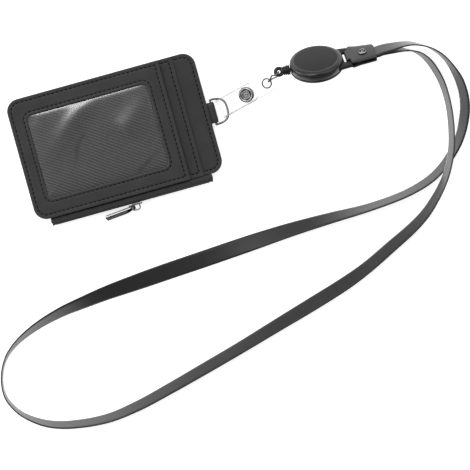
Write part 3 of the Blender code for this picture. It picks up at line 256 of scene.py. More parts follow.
class NodeSet(Tree):
    """A material's node tree under construction."""

    def __init__(self, name: str, finish: Finish) -> None:
        """Starts a material from a finish.

        Args:
            name: the material's name.
            finish: its constant values.
        """
        self.material = bpy.data.materials.new(name)
        self.material.use_nodes = True
        super().__init__(self.material.node_tree)
        self.shader = self.tree.nodes["Principled BSDF"]
        self.where = self.add("TexCoord").outputs
        self.finish = finish
        self.fix("Base Color", (*finish.colour, 1.0))
        self.fix("Roughness", finish.roughness)
        self.fix("Metallic", finish.metallic)
        self.fix("Specular IOR Level", finish.specular)

    def fix(self, name: str, value: float | Numbers) -> None:
        """Gives one of the shader's sockets a value that is the same all over."""
        self.shader.inputs[name].default_value = value

    def drive(self, name: str, value: Socket) -> None:
        """Gives one of the shader's sockets a value that changes over the surface."""
        self.join(value, self.shader.inputs[name])

    def texture(self, node: Node, scale: float) -> Node:
        """Lays a texture node over the object.

        Args:
            node: the node.
            scale: its cells a metre.

        Returns:
            The node.
        """
        node.inputs["Scale"].default_value = scale
        self.join(self.where["Object"], node.inputs["Vector"])
        return node

    def noise(self, scale: float, detail: float = 2.0) -> Socket:
        """A noise over the object.

        Args:
            scale: cells a metre.
            detail: octaves.

        Returns:
            The noise's value.
        """
        node = self.texture(self.add("TexNoise"), scale)
        node.inputs["Detail"].default_value = detail
        return node.outputs["Fac"]

    def cells(self, scale: float) -> Socket:
        """The distance to the middle of each rounded cell over the object, as in leather grain."""
        return self.texture(self.add("TexVoronoi", feature="SMOOTH_F1"), scale).outputs["Distance"]

    def wear_and_painted_light(self) -> Socket:
        """How rubbed the mesh is there and how much painted highlight or painted shade it gets, as kept on
        it.
        """
        return self.add("Attribute", attribute_name="wear_and_painted_light").outputs["Fac"]

    def split(self, kind: str) -> tuple[Socket, Socket]:
        """The first two coordinates of the surface, in metres.

        Args:
            kind: Object, for x and y, or UV, for the distances across and along.

        Returns:
            Both sockets.
        """
        node = self.add("SeparateXYZ")
        self.join(self.where[kind], node.inputs[0])
        return node.outputs[0], node.outputs[1]

    def facing(self, near: float, far: float, low: float, high: float) -> Socket:
        """A value spread over how far the surface turns from the eye, from 0, face on, to 1, edge on."""
        return self.spread(self.add("LayerWeight").outputs["Facing"], near, far, low, high)

    def tint(self, share: Socket, low: float, high: float) -> None:
        """Multiplies the base colour by low where the share is 0 and by high where it is 1."""
        ends = [tuple(min(1.0, part * value) for part in self.finish.colour) for value in (low, high)]
        self.drive("Base Color", self.ramp(share, tuple(zip((0.0, 1.0), ends))))

    def roughen(self, share: Socket, less: float, more: float) -> None:
        """Varies the roughness about the finish's own: less where the share is 0 and more where it is 1."""
        own = self.finish.roughness
        self.drive("Roughness", self.spread(share, 0.0, 1.0, max(POLISHED, own - less), own + more))

    def bump(self, height: Socket, depth: float, strength: float) -> None:
        """Adds relief.

        Args:
            height: from 0 to 1.
            depth: its real depth in metres.
            strength: share of the relief that shows.
        """
        node = self.add("Bump")
        node.inputs["Distance"].default_value = depth
        node.inputs["Strength"].default_value = strength
        self.join(height, node.inputs["Height"])
        self.drive("Normal", node.outputs[0])


class Materials:
    """Makes each procedural material once."""

    @cache
    def leather(self, name: str = "leather", finish: Finish = LEATHER) -> Material:
        """Black split leather with a fine pebble, a little lighter along its edges, from rubbing and a
        painted highlight, and darker along its stitch grooves, as painted shade.

        Args:
            name: the material's name.
            finish: its constant values.

        Returns:
            The material.
        """
        nodes = NodeSet(name, finish)
        grain, fine, blotch = nodes.cells(1500.0), nodes.noise(3600.0, 3.0), nodes.noise(90.0, 3.0)
        # Random blotches, plus the kept values: rubbing with a painted highlight at the edges and painted
        # shade in the stitch grooves.
        nodes.tint(nodes.weighed((blotch, 0.75), (nodes.wear_and_painted_light(), 0.6)), 0.7, 1.7)
        nodes.roughen(fine, 0.08, 0.1)
        nodes.bump(nodes.weighed((grain, 0.8), (fine, 0.3)), 0.00012, 0.5)
        return nodes.material

    @cache
    def cloth(self, name: str, finish: Finish, weave: Weave) -> Material:
        """A woven cloth: two sine waves multiplied for its threads, or the slanted ribs of a twill.

        Args:
            name: the material's name.
            finish: its constant values.
            weave: how the threads lie.

        Returns:
            The material.
        """
        nodes = NodeSet(name, finish)
        speckle = nodes.noise(2500.0)
        if weave is Weave.TWILL:
            self.twill(nodes, speckle)
        else:
            across, along = nodes.split("UV")
            pitch = RIB_PITCH if weave is Weave.RIBBED else TAPE_PITCH
            rib = nodes.maths("SINE", nodes.maths("MULTIPLY", along, 2 * math.pi / pitch))
            line = nodes.maths("SINE", nodes.maths("MULTIPLY", across, 2 * math.pi / (pitch * 1.1)))
            mesh = nodes.maths("MULTIPLY_ADD", nodes.maths("MULTIPLY", rib, line), 0.3, 0.5)
            nodes.tint(nodes.weighed((mesh, 0.6), (nodes.noise(240.0, 3.0), 0.5)), 0.6, 1.5)
            nodes.roughen(speckle, 0.08, 0.1)
            nodes.bump(mesh, 0.00006, 0.45)
        if weave is Weave.RIBBED:
            nodes.drive("Specular IOR Level", nodes.facing(0.25, 0.7, finish.specular, 1.35))
        nodes.fix("Sheen Weight", 0.9 if weave is Weave.RIBBED else 0.2)
        nodes.fix("Sheen Roughness", 0.3)
        return nodes.material

    def twill(self, nodes: NodeSet, speckle: Socket) -> None:
        """Slanted ribs for the window's lining: a sine wave across the slant, bent a little by a slow noise,
        with painted shadows of creases multiplied in.

        Args:
            nodes: the material's node tree.
            speckle: a fine noise.
        """
        x, y = nodes.split("Object")
        slant = nodes.weighed((x, math.sin(TWILL_SLANT)), (y, math.cos(TWILL_SLANT)))
        bend = nodes.maths("MULTIPLY", nodes.noise(25.0, 1.0), 0.0035)
        turn = nodes.maths("MULTIPLY", nodes.maths("ADD", slant, bend), 2 * math.pi / TWILL_PITCH)
        share = nodes.maths("MULTIPLY_ADD", nodes.maths("SINE", turn), 0.5, 0.5)
        thin = nodes.maths("POWER", share, 1.6)
        shade = nodes.weighed((thin, 0.85), (speckle, 0.2))
        # Painted shadows where the film presses creases into the lining.
        for mark in LINING_CREASE_SHADOWS:
            shade = nodes.maths("MULTIPLY", shade, self.crease_shadow(nodes, x, y, mark))
        nodes.tint(shade, 0.25, 2.8)
        nodes.bump(thin, 0.00006, 0.4)

    def crease_shadow(self, nodes: NodeSet, x: Socket, y: Socket, mark: tuple[Numbers, Numbers, float]) -> Socket:
        """Paints a soft shadow where the lining creases: one less a hill that is flat-topped along the mark
        and round across it.

        Args:
            nodes: the material's node tree.
            x: the place along the case.
            y: the place across it.
            mark: where it starts, where it ends and half its width.

        Returns:
            What the colour is multiplied by to paint the shadow.
        """
        (x0, y0), (x1, y1), wide = mark
        half = math.hypot(x1 - x0, y1 - y0) / 2
        run = ((x1 - x0) / 2 / half, (y1 - y0) / 2 / half)
        far = []
        for (a, b), size, power in ((run, half, 4.0), ((-run[1], run[0]), wide, 2.0)):
            shift = -(a * (x0 + x1) + b * (y0 + y1)) / 2
            way = nodes.maths("ADD", nodes.maths("MULTIPLY", x, a), nodes.maths("MULTIPLY_ADD", y, b, shift))
            far.append(nodes.maths("POWER", nodes.maths("ABSOLUTE", nodes.maths("DIVIDE", way, size)), power))
        painted_shade = nodes.maths("EXPONENT", nodes.maths("MULTIPLY", nodes.maths("ADD", *far), -1.0))
        return nodes.maths("MULTIPLY_ADD", painted_shade, -0.9, 1.0)

    @cache
    def solid(self, name: str, finish: Finish, grain: float = 900.0, spread: float = 0.05) -> Material:
        """Plastic, metal or thread with a little unevenness.

        Args:
            name: the material's name.
            finish: its constant values.
            grain: specks a metre.
            spread: how far the roughness varies.

        Returns:
            The material.
        """
        nodes = NodeSet(name, finish)
        speck = nodes.noise(grain, 3.0)
        nodes.roughen(speck, spread, spread)
        nodes.tint(nodes.noise(grain / 3), 0.9, 1.1)
        nodes.bump(speck, 0.00002, 0.25)
        return nodes.material

    @cache
    def metal(self, name: str, finish: Finish, turned: float = 0.75, left_in_painted_shade: float = 0.05) -> Material:
        """Plated metal, with painted shade that darkens its colour where it turns away from the eye.

        Args:
            name: the material's name.
            finish: its constant values.
            turned: how far it has turned where the painted shade is deepest, from 0, face on, to 1, edge on.
            left_in_painted_shade: share of its colour left there under the painted shade.

        Returns:
            The material.
        """
        nodes = NodeSet(name, finish)
        # Painted shade: the colour darkens as the surface turns edge on to the eye.
        nodes.tint(nodes.maths("POWER", nodes.facing(0.14, turned, 0.0, 1.0), 0.6), 1.0, left_in_painted_shade)
        nodes.fix("Specular Tint", (0.1, 0.1, 0.1, 1.0))
        speck = nodes.noise(700.0, 3.0)
        nodes.roughen(speck, 0.05, 0.05)
        nodes.bump(speck, 0.00002, 0.2)
        return nodes.material

    def see_through(self, nodes: NodeSet, face: float, edge_on: float, rim: float) -> Material:
        """Lets light through a finish: most of it face on, less where it is seen edge on, and less at its
        rim, where painted edge shade is kept on the mesh.

        Args:
            nodes: the material's node tree.
            face: how solid it is face on.
            edge_on: how much more solid it is where it is seen edge on.
            rim: how much more solid it is at its rim, as painted edge shade.

        Returns:
            The material.
        """
        steep = nodes.maths("POWER", nodes.facing(0.0, 1.0, 0.0, 1.0), 3.0)
        more = nodes.weighed((steep, edge_on), (nodes.wear_and_painted_light(), rim))
        nodes.drive("Alpha", nodes.maths("MINIMUM", nodes.maths("ADD", more, face), 1.0))
        nodes.roughen(nodes.noise(300.0), 0.02, 0.03)
        nodes.bump(nodes.noise(160.0, 1.0), 0.0002, 0.08)
        nodes.material.surface_render_method = "BLENDED"
        return nodes.material

    @cache
    def film(self) -> Material:
        """Clear film, whose two faces mirror about a twelfth of the light and let the rest through."""
        return self.see_through(NodeSet("window_film", FILM), 0.08, 0.6, 0.0)

    @cache
    def vinyl(self) -> Material:
        """Clear soft vinyl, with painted shade that greys its cut edges.

        Returns:
            The material.
        """
        nodes = NodeSet("clear_vinyl", VINYL)
        # Painted shade: the cut edges are greyed here and made more solid in see_through.
        nodes.tint(nodes.wear_and_painted_light(), 1.0, 0.55)
        return self.see_through(nodes, 0.07, 0.2, 0.33)


def circle(count: int) -> Array:
    """Even angles once round."""
    return np.linspace(0.0, 2 * math.pi, count, endpoint=False)


def degrees(start: float, end: float, count: int) -> Array:
    """Even angles from one to another, both given in degrees."""
    return np.radians(np.linspace(start, end, count))


def arc(x: float, y: float, radius: float, start: float, end: float, count: int = 12) -> Array:
    """Points round a centre from one angle to another, both in degrees, shaped (count, 2)."""
    angle = degrees(start, end, count)
    return np.column_stack([x + radius * np.cos(angle), y + radius * np.sin(angle)])


def smooth(share: Array) -> Array:
    """A smooth step: three squares less two cubes of a share from 0 to 1."""
    return share * share * (3 - 2 * share)


def hill(distance: Array | float, wide: Array | float) -> Array | float:
    """A round hill: e to the power of minus the square of the distance over the width."""
    return np.exp(-((distance / wide) ** 2))


def fall_off(share: Array) -> Array:
    """How far a quarter round drops: one less the root of one less the share of its way squared."""
    return 1.0 - np.sqrt(np.clip(1.0 - share**2, 0.0, 1.0))


def run_along(path: Array) -> Array:
    """The length of a path up to each of its points."""
    return np.concatenate([[0.0], np.cumsum(np.linalg.norm(np.diff(path, axis=0), axis=1))])


def stood(x: Array, z: Array, y: float = 0.0) -> Array:
    """A path of x and z, stood up at one y."""
    return np.column_stack([x, np.full(len(x), y), z])


def squared(value: Array, power: float) -> Array:
    """A sine or cosine pushed out towards its ends: its sign times its size to a power below one."""
    return np.sign(value) * np.abs(value) ** power


def moved(points: Array, matrix: Matrix) -> Array:
    """Points, shaped (..., 3), carried by a matrix."""
    m = np.array(matrix)
    return points @ m[:3, :3].T + m[:3, 3]


def in_plane(vector: Array, normal: Array) -> Array:
    """The unit direction of a vector within the plane across a unit normal."""
    flat = vector - normal * vector.dot(normal)
    return flat / np.linalg.norm(flat)


def shifted(frame_of: Matrix, x: float, z: float = 0.0) -> Matrix:
    """A frame moved along its own X and Z."""
    return frame_of @ Matrix.Translation((x, 0.0, z))


def new_mesh(name: str, points: Array, faces: Faces, uv: Array | None = None,
             wear_and_painted_light: Array | None = None) -> Piece:
    """Makes a smooth-shaded mesh object at the origin. One whose volume comes out negative is turned out.

    Args:
        name: the piece's name.
        points: corner places, shaped (n, 3).
        faces: lists of corner numbers.
        uv: each corner's place across and along, in metres, shaped (n, 2).
        wear_and_painted_light: how rubbed each corner is and how much painted highlight or painted shade it
            gets, from 0 to 1.

    Returns:
        The object, linked to the scene.
    """
    mesh = bpy.data.meshes.new(name)
    mesh.from_pydata(points.tolist(), [], faces)
    mesh.polygons.foreach_set("use_smooth", np.ones(len(mesh.polygons), dtype=bool))
    if uv is not None:
        layer = mesh.uv_layers.new(name="UVMap")
        corner = np.empty(len(mesh.loops), dtype=np.int32)
        mesh.loops.foreach_get("vertex_index", corner)
        layer.data.foreach_set("uv", uv[corner].astype(np.float32).ravel())
    if wear_and_painted_light is not None:
        layer = mesh.attributes.new("wear_and_painted_light", "FLOAT", "POINT")
        layer.data.foreach_set("value", wear_and_painted_light.astype(np.float32))
    mesh.calc_loop_triangles()
    triangles = np.empty(3 * len(mesh.loop_triangles), dtype=np.int32)
    mesh.loop_triangles.foreach_get("vertices", triangles)
    a, b, c = (points - points.mean(axis=0))[triangles.reshape(-1, 3)].transpose(1, 0, 2)
    if float((a * np.cross(b, c)).sum()) < 0:
        mesh.flip_normals()
    mesh.update()
    obj = bpy.data.objects.new(name, mesh)
    bpy.context.scene.collection.objects.link(obj)
    return obj


def quads(rows: int, columns: int, wrap: bool, first: int = 0) -> Array:
    """Faces between rows of points.

    Args:
        rows: number of rows.
        columns: points in a row.
        wrap: whether a row closes on itself.
        first: number of the first point.

    Returns:
        Four corner numbers a face, shaped (n, 4).
    """
    index = first + np.arange(rows * columns).reshape(rows, columns)
    if wrap:
        index = np.concatenate([index, index[:, :1]], axis=1)
    return np.stack([index[:-1, :-1], index[:-1, 1:], index[1:, 1:], index[1:, :-1]], axis=-1).reshape(-1, 4)


def sweep(loops: Array, closed: bool) -> tuple[Array, Faces]:
    """Joins loops of points into one skin.

    Args:
        loops: shaped (loops, points, 3).
        closed: whether the last loop joins the first; otherwise both are filled.

    Returns:
        The points and the faces.
    """
    rows, columns, _ = loops.shape
    points = loops.reshape(-1, 3)
    faces = quads(rows, columns, True).tolist()
    if closed:
        last = (rows - 1) * columns + np.arange(columns)
        first = np.arange(columns)
        faces += np.stack([last, np.roll(last, -1), np.roll(first, -1), first], axis=-1).tolist()
    else:
        faces.append(list(range(columns))[::-1])
        faces.append(list(range((rows - 1) * columns, rows * columns)))
    return points, faces


def directions(path: Array, closed: bool) -> Array:
    """Unit directions along a path.

    Args:
        path: points, shaped (n, 3).
        closed: whether it closes on itself.

    Returns:
        Shaped (n, 3).
    """
    if closed:
        along = np.roll(path, -1, axis=0) - np.roll(path, 1, axis=0)
    else:
        along = np.gradient(path, axis=0)
    return along / np.linalg.norm(along, axis=1)[:, None]


def carried_side(along: Array) -> Array:
    """A side direction at each point that turns as little as it can from one point to the next.

    Args:
        along: unit directions, shaped (n, 3).

    Returns:
        Unit side directions, shaped (n, 3).
    """
    side = np.empty_like(along)
    seed = np.array([0.0, 0.0, 1.0]) if abs(along[0, 2]) < 0.9 else np.array([1.0, 0.0, 0.0])
    last = np.cross(along[0], seed)
    for k, direction in enumerate(along):
        last = last - direction * last.dot(direction)
        last = last / np.linalg.norm(last)
        side[k] = last
    return side


def tube(name: str, path: Array, radius: Array | float, sides: int = 16, closed: bool = False) -> Piece:
    """A round bar: circles of a radius set across a path.

    Args:
        name: the piece's name.
        path: its middle line, shaped (n, 3).
        radius: one radius, or one for each point.
        sides: points round it.
        closed: whether it closes on itself.

    Returns:
        The object.
    """
    along = directions(path, closed)
    side = carried_side(along)
    other = np.cross(along, side)
    if closed:
        drift = math.atan2(float(side[-1].dot(other[0])), float(side[-1].dot(side[0])))
        turn = -drift * np.linspace(0.0, 1.0, len(path))[:, None]
        side, other = np.cos(turn) * side + np.sin(turn) * other, np.cos(turn) * other - np.sin(turn) * side
    angle = circle(sides)[None, :, None]
    reach = np.broadcast_to(np.asarray(radius, dtype=float), (len(path),))[:, None, None]
    loops = path[:, None] + reach * (np.cos(angle) * side[:, None] + np.sin(angle) * other[:, None])
    points, faces = sweep(loops, closed)
    return new_mesh(name, points, faces)


def smooth_closed(path: Array, count: int) -> Array:
    """Points at even steps on a smooth closed curve through points, as a Catmull-Rom spline.

    Args:
        path: shaped (n, 3).
        count: how many points to give.

    Returns:
        Shaped (count, 3).
    """
    n = len(path)
    s = np.linspace(0.0, n, count, endpoint=False)
    k = s.astype(int)
    t = (s - k)[:, None]
    a, b, c, d = path[(k - 1) % n], path[k % n], path[(k + 1) % n], path[(k + 2) % n]
    return 0.5 * (2 * b + (c - a) * t + (2 * a - 5 * b + 4 * c - d) * t**2 + (3 * b - a - 3 * c + d) * t**3)


def lathe(name: str, profile: Array, matrix: Matrix, sides: int = 72, closed: bool = False) -> Piece:
    """Turns a profile of radius and height about an axis.

    Args:
        name: the piece's name.
        profile: shaped (n, 2); it starts and ends on the axis, unless closed.
        matrix: the axis as local Z.
        sides: points round it.
        closed: whether the profile is a ring of its own.

    Returns:
        The object.
    """
    angle = circle(sides)
    outer = profile if closed else profile[1:-1]
    loops = np.stack([outer[:, None, 0] * np.cos(angle), outer[:, None, 0] * np.sin(angle),
                      np.broadcast_to(outer[:, None, 1], (len(outer), sides))], axis=-1)
    if closed:
        points, faces = sweep(loops, True)
    else:
        ends = [[0.0, 0.0, profile[0, 1]], [0.0, 0.0, profile[-1, 1]]]
        points = np.concatenate([loops.reshape(-1, 3), ends])
        faces = quads(len(outer), sides, True).tolist()
        top, low = len(points) - 2, len(points) - 1
        ring = np.arange(sides)
        faces += np.stack([np.full(sides, top), np.roll(ring, -1), ring], axis=-1).tolist()
        ring = ring + (len(outer) - 1) * sides
        faces += np.stack([np.full(sides, low), ring, np.roll(ring, -1)], axis=-1).tolist()
    return new_mesh(name, moved(points, matrix), faces)


def eased(points: Array, radius: float, steps: int = 4) -> Array:
    """Rounds the corners of an open profile.

    Args:
        points: shaped (n, 2).
        radius: how far from each corner the rounding starts.
        steps: points in each rounding.

    Returns:
        The rounded profile.
    """
    made = [points[0]]
    for before, corner, after in zip(points[:-2], points[1:-1], points[2:]):
        back, on = before - corner, after - corner
        reach = min(radius, 0.45 * np.linalg.norm(back), 0.45 * np.linalg.norm(on))
        start = corner + back / np.linalg.norm(back) * reach
        end = corner + on / np.linalg.norm(on) * reach
        for t in np.linspace(0.0, 1.0, steps):
            made.append((1 - t) ** 2 * start + 2 * t * (1 - t) * corner + t**2 * end)
    made.append(points[-1])
    return np.array(made)


def strip(name: str, middle: Array, across: Array, normal: Array, half: Array | float, thickness: float,
          columns: int = 9, curl: Array | float = 0.0) -> Piece:
    """A strip of one thickness with rounded edges: at each station a flat loop is set across the middle line.

    Args:
        name: the piece's name.
        middle: its middle line, shaped (n, 3).
        across: the unit direction of its width, one or one for each point.
        normal: the unit direction of its thickness, one or one for each point.
        half: half its width, one or one for each point.
        thickness: its thickness.
        columns: points over each face.
        curl: how far its edges stand off its middle, along the normal.

    Returns:
        The object, with its place across and along as UV.
    """
    share = np.concatenate([np.linspace(-1.0, 1.0, columns), np.linspace(1.0, -1.0, columns)])
    face = np.concatenate([np.ones(columns), -np.ones(columns)])
    edge = np.clip((1.0 - np.abs(share)) * (columns - 1) / 2, 0.0, 1.0)
    across, normal = (np.broadcast_to(way, middle.shape)[:, None] for way in (across, normal))
    sizes = (half, curl, run_along(middle))
    half, curl, run = (np.broadcast_to(size, len(middle))[:, None] for size in sizes)
    width = half * share
    lift = thickness / 2 * face * (0.5 + 0.5 * edge) + curl * share**2
    points, faces = sweep(middle[:, None] + width[..., None] * across + lift[..., None] * normal, False)
    uv = np.stack([width, np.broadcast_to(run, width.shape)], axis=-1).reshape(-1, 2)
    # The rim gets 1: lighter leather there from rubbing and a painted highlight, greyer vinyl as painted edge
    # shade.
    wear_and_painted_light = np.broadcast_to((1.0 - edge)[None], width.shape).ravel()
    return new_mesh(name, points, faces, uv, wear_and_painted_light)


def skin(name: str, rows: Array, thickness: Array | float) -> Piece:
    """A closed sheet about a grid of points.

    Args:
        name: the piece's name.
        rows: its middle surface, shaped (rows, columns, 3).
        thickness: its thickness, one value or one for each point, shaped (rows, columns, 1).

    Returns:
        The object, with its place across and along as UV.
    """
    count, wide, _ = rows.shape
    normal = np.cross(np.gradient(rows, axis=1), np.gradient(rows, axis=0))
    normal /= np.linalg.norm(normal, axis=2)[..., None]
    both = np.concatenate([(rows + side * normal * thickness / 2).reshape(-1, 3) for side in (1, -1)])
    face = quads(count, wide, False)
    total = count * wide
    index = np.arange(total).reshape(count, wide)
    rim = np.concatenate([index[0], index[1:, -1], index[-1, -2::-1], index[-2:0:-1, 0]])
    sides = np.stack([rim + total, np.roll(rim, -1) + total, np.roll(rim, -1), rim], axis=-1)
    faces = face.tolist() + (face[:, ::-1] + total).tolist() + sides.tolist()
    first = [np.zeros((1, wide)), np.cumsum(np.linalg.norm(np.diff(rows, axis=0), axis=2), axis=0)]
    second = [np.zeros((count, 1)), np.cumsum(np.linalg.norm(np.diff(rows, axis=1), axis=2), axis=1)]
    uv = np.stack([np.concatenate(second, axis=1), np.concatenate(first)], axis=-1).reshape(-1, 2)
    return new_mesh(name, both, faces, np.concatenate([uv, uv]))


def pebbles(name: str, centres: Array, half: Numbers, power: float = 0.45) -> Piece:
    """Small blocks with rounded edges, one at each place, as superellipsoids.

    Args:
        name: the piece's name.
        centres: shaped (n, 3).
        half: half their size along each axis.
        power: from 0, square, to 1, round.

    Returns:
        The object, all the blocks in one mesh.
    """
    rise = degrees(-84.0, 84.0, 9)[:, None]
    turn = circle(16)[None]
    ring = squared(np.cos(rise), power)
    unit = np.stack([ring * squared(np.cos(turn), power), ring * squared(np.sin(turn), power),
                     np.broadcast_to(squared(np.sin(rise), power), (9, 16))], axis=-1)
    one, faces = sweep(unit * np.array(half), False)
    points = (centres[:, None] + one[None]).reshape(-1, 3)
    made = [[corner + k * len(one) for corner in face] for k in range(len(centres)) for face in faces]
    return new_mesh(name, points, made)


def prism(name: str, loop: Array, low: float, high: float, ease: float) -> Piece:
    """An upright block on a closed outline, eased along its upper and lower edges.

    Args:
        name: the piece's name.
        loop: the outline, counterclockwise, shaped (n, 2).
        low: height of its underside.
        high: height of its top.
        ease: how far its edges are rounded.

    Returns:
        The object, with height and run as UV.
    """
    along = np.roll(loop, -1, axis=0) - np.roll(loop, 1, axis=0)
    inward = np.column_stack([-along[:, 1], along[:, 0]]) / np.linalg.norm(along, axis=1)[:, None]
    levels = [(1.0, low), (0.3, low + 0.3 * ease), (0.0, low + ease), (0.0, high - ease),
              (0.3, high - 0.3 * ease), (1.0, high)]
    loops = np.array([np.column_stack([loop + inward * ease * share, np.full(len(loop), z)])
                      for share, z in levels])
    uv = np.concatenate([np.column_stack([np.full(len(loop), z), run_along(loop)]) for _, z in levels])
    points, faces = sweep(loops, False)
    return new_mesh(name, points, faces, uv)


def outline(left: float, low: float, right: float, high: float, radii: Numbers, bend: int = 10,
            run: int = 14) -> Array:
    """A rounded rectangle as a loop of points, with the same number on each corner and each side.

    Args:
        left: lowest x.
        low: lowest y.
        right: highest x.
        high: highest y.
        radii: the corners' radii, from low left, counterclockwise.
        bend: points on a corner.
        run: points on a side.

    Returns:
        Shaped (4 * (bend + run), 2).
    """
    corners = ((left, low, 1, 1, 180.0), (right, low, -1, 1, 270.0), (right, high, -1, -1, 0.0),
               (left, high, 1, -1, 90.0))
    arcs = []
    for (x, y, sx, sy, start), radius in zip(corners, radii):
        angle = np.radians(start + np.linspace(0.0, 90.0, bend))
        radius = max(radius, 0.00005)
        arcs.append(np.column_stack([x + radius * (sx + np.cos(angle)), y + radius * (sy + np.sin(angle))]))
    points = []
    for this, following in zip(arcs, arcs[1:] + arcs[:1]):
        step = np.linspace(0.0, 1.0, run + 2)[1:-1, None]
        points += [this, this[-1] * (1 - step) + following[0] * step]
    return np.concatenate(points)


@dataclass(frozen=True)
class Leaf:
    """A cut leaf of leather or film.

    Attributes:
        left: lowest x.
        low: lowest y.
        right: highest x.
        high: highest y.
        radii: corner radii, from low left, counterclockwise.
        bottom: height of its underside.
        thick: its thickness.
    """

    left: float
    low: float
    right: float
    high: float
    radii: Numbers
    bottom: float
    thick: float

    def loop(self, inset: float) -> Array:
        """Its outline, drawn in by an inset, shaped (n, 2)."""
        radii = tuple(radius - inset for radius in self.radii)
        return outline(self.left + inset, self.low + inset, self.right - inset, self.high - inset, radii)


EDGE_ROUND = 0.00035
GROOVE_DEPTH = 0.00016
GROOVE_HALF = 0.0005
STITCH_PITCH = 0.0027
INSETS = np.array([0.0, 0.00006, 0.00015, 0.00035, 0.0008, 0.0014, 0.0019, 0.0022, 0.0025, 0.0028, 0.0031,
                   0.0036, 0.0045])


def leather_rise(inset: float, grooves: Numbers) -> float:
    """How a leaf's face lies: rounded down at its edge, pressed in along its rows of stitches, full between.

    Args:
        inset: distance from the edge.
        grooves: distances of the rows of stitches.

    Returns:
        The height below the full thickness, zero or less.
    """
    fall = -EDGE_ROUND * fall_off(1.0 - np.clip(inset / EDGE_ROUND, 0.0, 1.0))
    for groove in grooves:
        fall = fall - GROOVE_DEPTH * hill(inset - groove, GROOVE_HALF)
    return fall


def wear_and_painted_light_at(inset: float, *grooves: float) -> float:
    """How a leaf's face is marked: 1, rubbed and lightened by a painted highlight, at its edge, and below 0,
    painted shade, along its rows of stitches.
    """
    # Painted shade in the stitch grooves; the edge's value is rubbing plus a painted highlight.
    painted_shade = sum(0.45 * hill(inset - groove, GROOVE_HALF) for groove in grooves)
    return max(0.0, 1.0 - inset / 0.0009) - painted_shade


def ripple(x: Array, y: Array) -> Array:
    """A slow unevenness over the case, within a tenth of a millimetre: the sum of three long waves."""
    return 0.00003 * (np.sin(97.0 * x + 31.0 * y) + np.sin(61.0 * y - 43.0 * x + 1.3)
                      + 0.7 * np.sin(151.0 * x + 89.0 * y + 2.1))


def leaf_mesh(name: str, leaf: Leaf, grooves: Numbers = (0.0025,)) -> Piece:
    """A closed leaf: loops from the middle of its underside, round its edge, to the middle of its face.

    Args:
        name: the piece's name.
        leaf: its sizes.
        grooves: distances of the rows of stitches from its edge.

    Returns:
        The object.
    """
    loops, wear_and_painted_light = [], []
    for inset in INSETS[::-1]:
        flat = leaf.loop(inset)
        loops.append(np.column_stack([flat, np.full(len(flat), leaf.bottom - 0.4 * leather_rise(inset, ()))]))
        wear_and_painted_light.append(np.full(len(flat), 0.3 if inset < EDGE_ROUND else 0.0))
    for inset in INSETS:
        flat = leaf.loop(inset)
        wave = ripple(*flat.T) * min(1.0, inset / 0.002)
        z = leaf.bottom + leaf.thick + leather_rise(inset, grooves) + wave
        loops.append(np.column_stack([flat, z]))
        wear_and_painted_light.append(np.full(len(flat), wear_and_painted_light_at(inset, *grooves)))
    points, faces = sweep(np.array(loops), False)
    return new_mesh(name, points, faces, points[:, :2], np.concatenate(wear_and_painted_light))


def frame_mesh(name: str, leaf: Leaf, opening: Leaf, groove_out: float, groove_in: float) -> Piece:
    """A leaf with an opening: loops from the outer edge to the opening's over the face, and back underneath.

    Args:
        name: the piece's name.
        leaf: the outer sizes.
        opening: the opening's sizes.
        groove_out: distance of the outer row of stitches from the outer edge.
        groove_in: distance of the inner row from the opening.

    Returns:
        The object.
    """
    across = [(leaf.loop(inset), inset, groove_out) for inset in INSETS]
    across += [(opening.loop(-inset), inset, groove_in) for inset in INSETS[::-1]]
    loops, wear_and_painted_light = [], []
    for flat, inset, groove in across:
        z = leaf.bottom + leaf.thick + leather_rise(inset, (groove,)) + ripple(*flat.T)
        lip = 0.00012 * hill(inset - 0.0009, 0.0006) * (groove == groove_in)
        loops.append(np.column_stack([flat, z + lip]))
        wear_and_painted_light.append(np.full(len(flat), wear_and_painted_light_at(inset, groove)))
    for flat, inset, _ in across[::-1]:
        loops.append(np.column_stack([flat, np.full(len(flat), leaf.bottom - 0.3 * leather_rise(inset, ()))]))
        wear_and_painted_light.append(np.zeros(len(flat)))
    points, faces = sweep(np.array(loops), True)
    return new_mesh(name, points, faces, points[:, :2], np.concatenate(wear_and_painted_light))


def stitches(name: str, path: Array, height: float, closed: bool = True) -> Piece:
    """Threads along a row: each a short bar whose ends go down into their holes.

    Args:
        name: the piece's name.
        path: the row, shaped (n, 2).
        height: the face's height there.
        closed: whether the row closes on itself.

    Returns:
        The object, all the row's threads in one mesh.
    """
    line = np.concatenate([path, path[:1]]) if closed else path
    run = run_along(line)
    count = max(1, round(run[-1] / STITCH_PITCH))
    step = run[-1] / count
    span = np.linspace(-0.34, 0.34, 7)
    at = (np.arange(count)[:, None] + 0.5 + span) * step
    x, y = np.interp(at, run, line[:, 0]), np.interp(at, run, line[:, 1])
    arch = 0.00017 * np.cos(np.pi * span / 0.76) - 0.00018
    z = np.broadcast_to(height + arch, x.shape)
    centre = np.stack([x, y, z], axis=-1)
    along = np.gradient(centre, axis=1)
    along /= np.linalg.norm(along, axis=2)[..., None]
    side = np.cross(along, [0.0, 0.0, 1.0])
    side /= np.linalg.norm(side, axis=2)[..., None]
    other = np.cross(side, along)
    angle = circle(6)[None, None, :, None]
    reach = (0.00028 * np.sqrt(np.clip(1.0 - (span / 0.38) ** 2, 0.05, 1.0)))[None, :, None, None]
    around = np.cos(angle) * side[:, :, None] + np.sin(angle) * other[:, :, None]
    loops = centre[:, :, None] + reach * around
    caps = [[5, 4, 3, 2], [5, 2, 1, 0], [36, 37, 38, 39], [36, 39, 40, 41]]
    one = np.concatenate([quads(7, 6, True), caps])
    faces = (one[None] + (np.arange(count) * 42)[:, None, None]).reshape(-1, 4).tolist()
    return new_mesh(name, loops.reshape(-1, 3), faces)


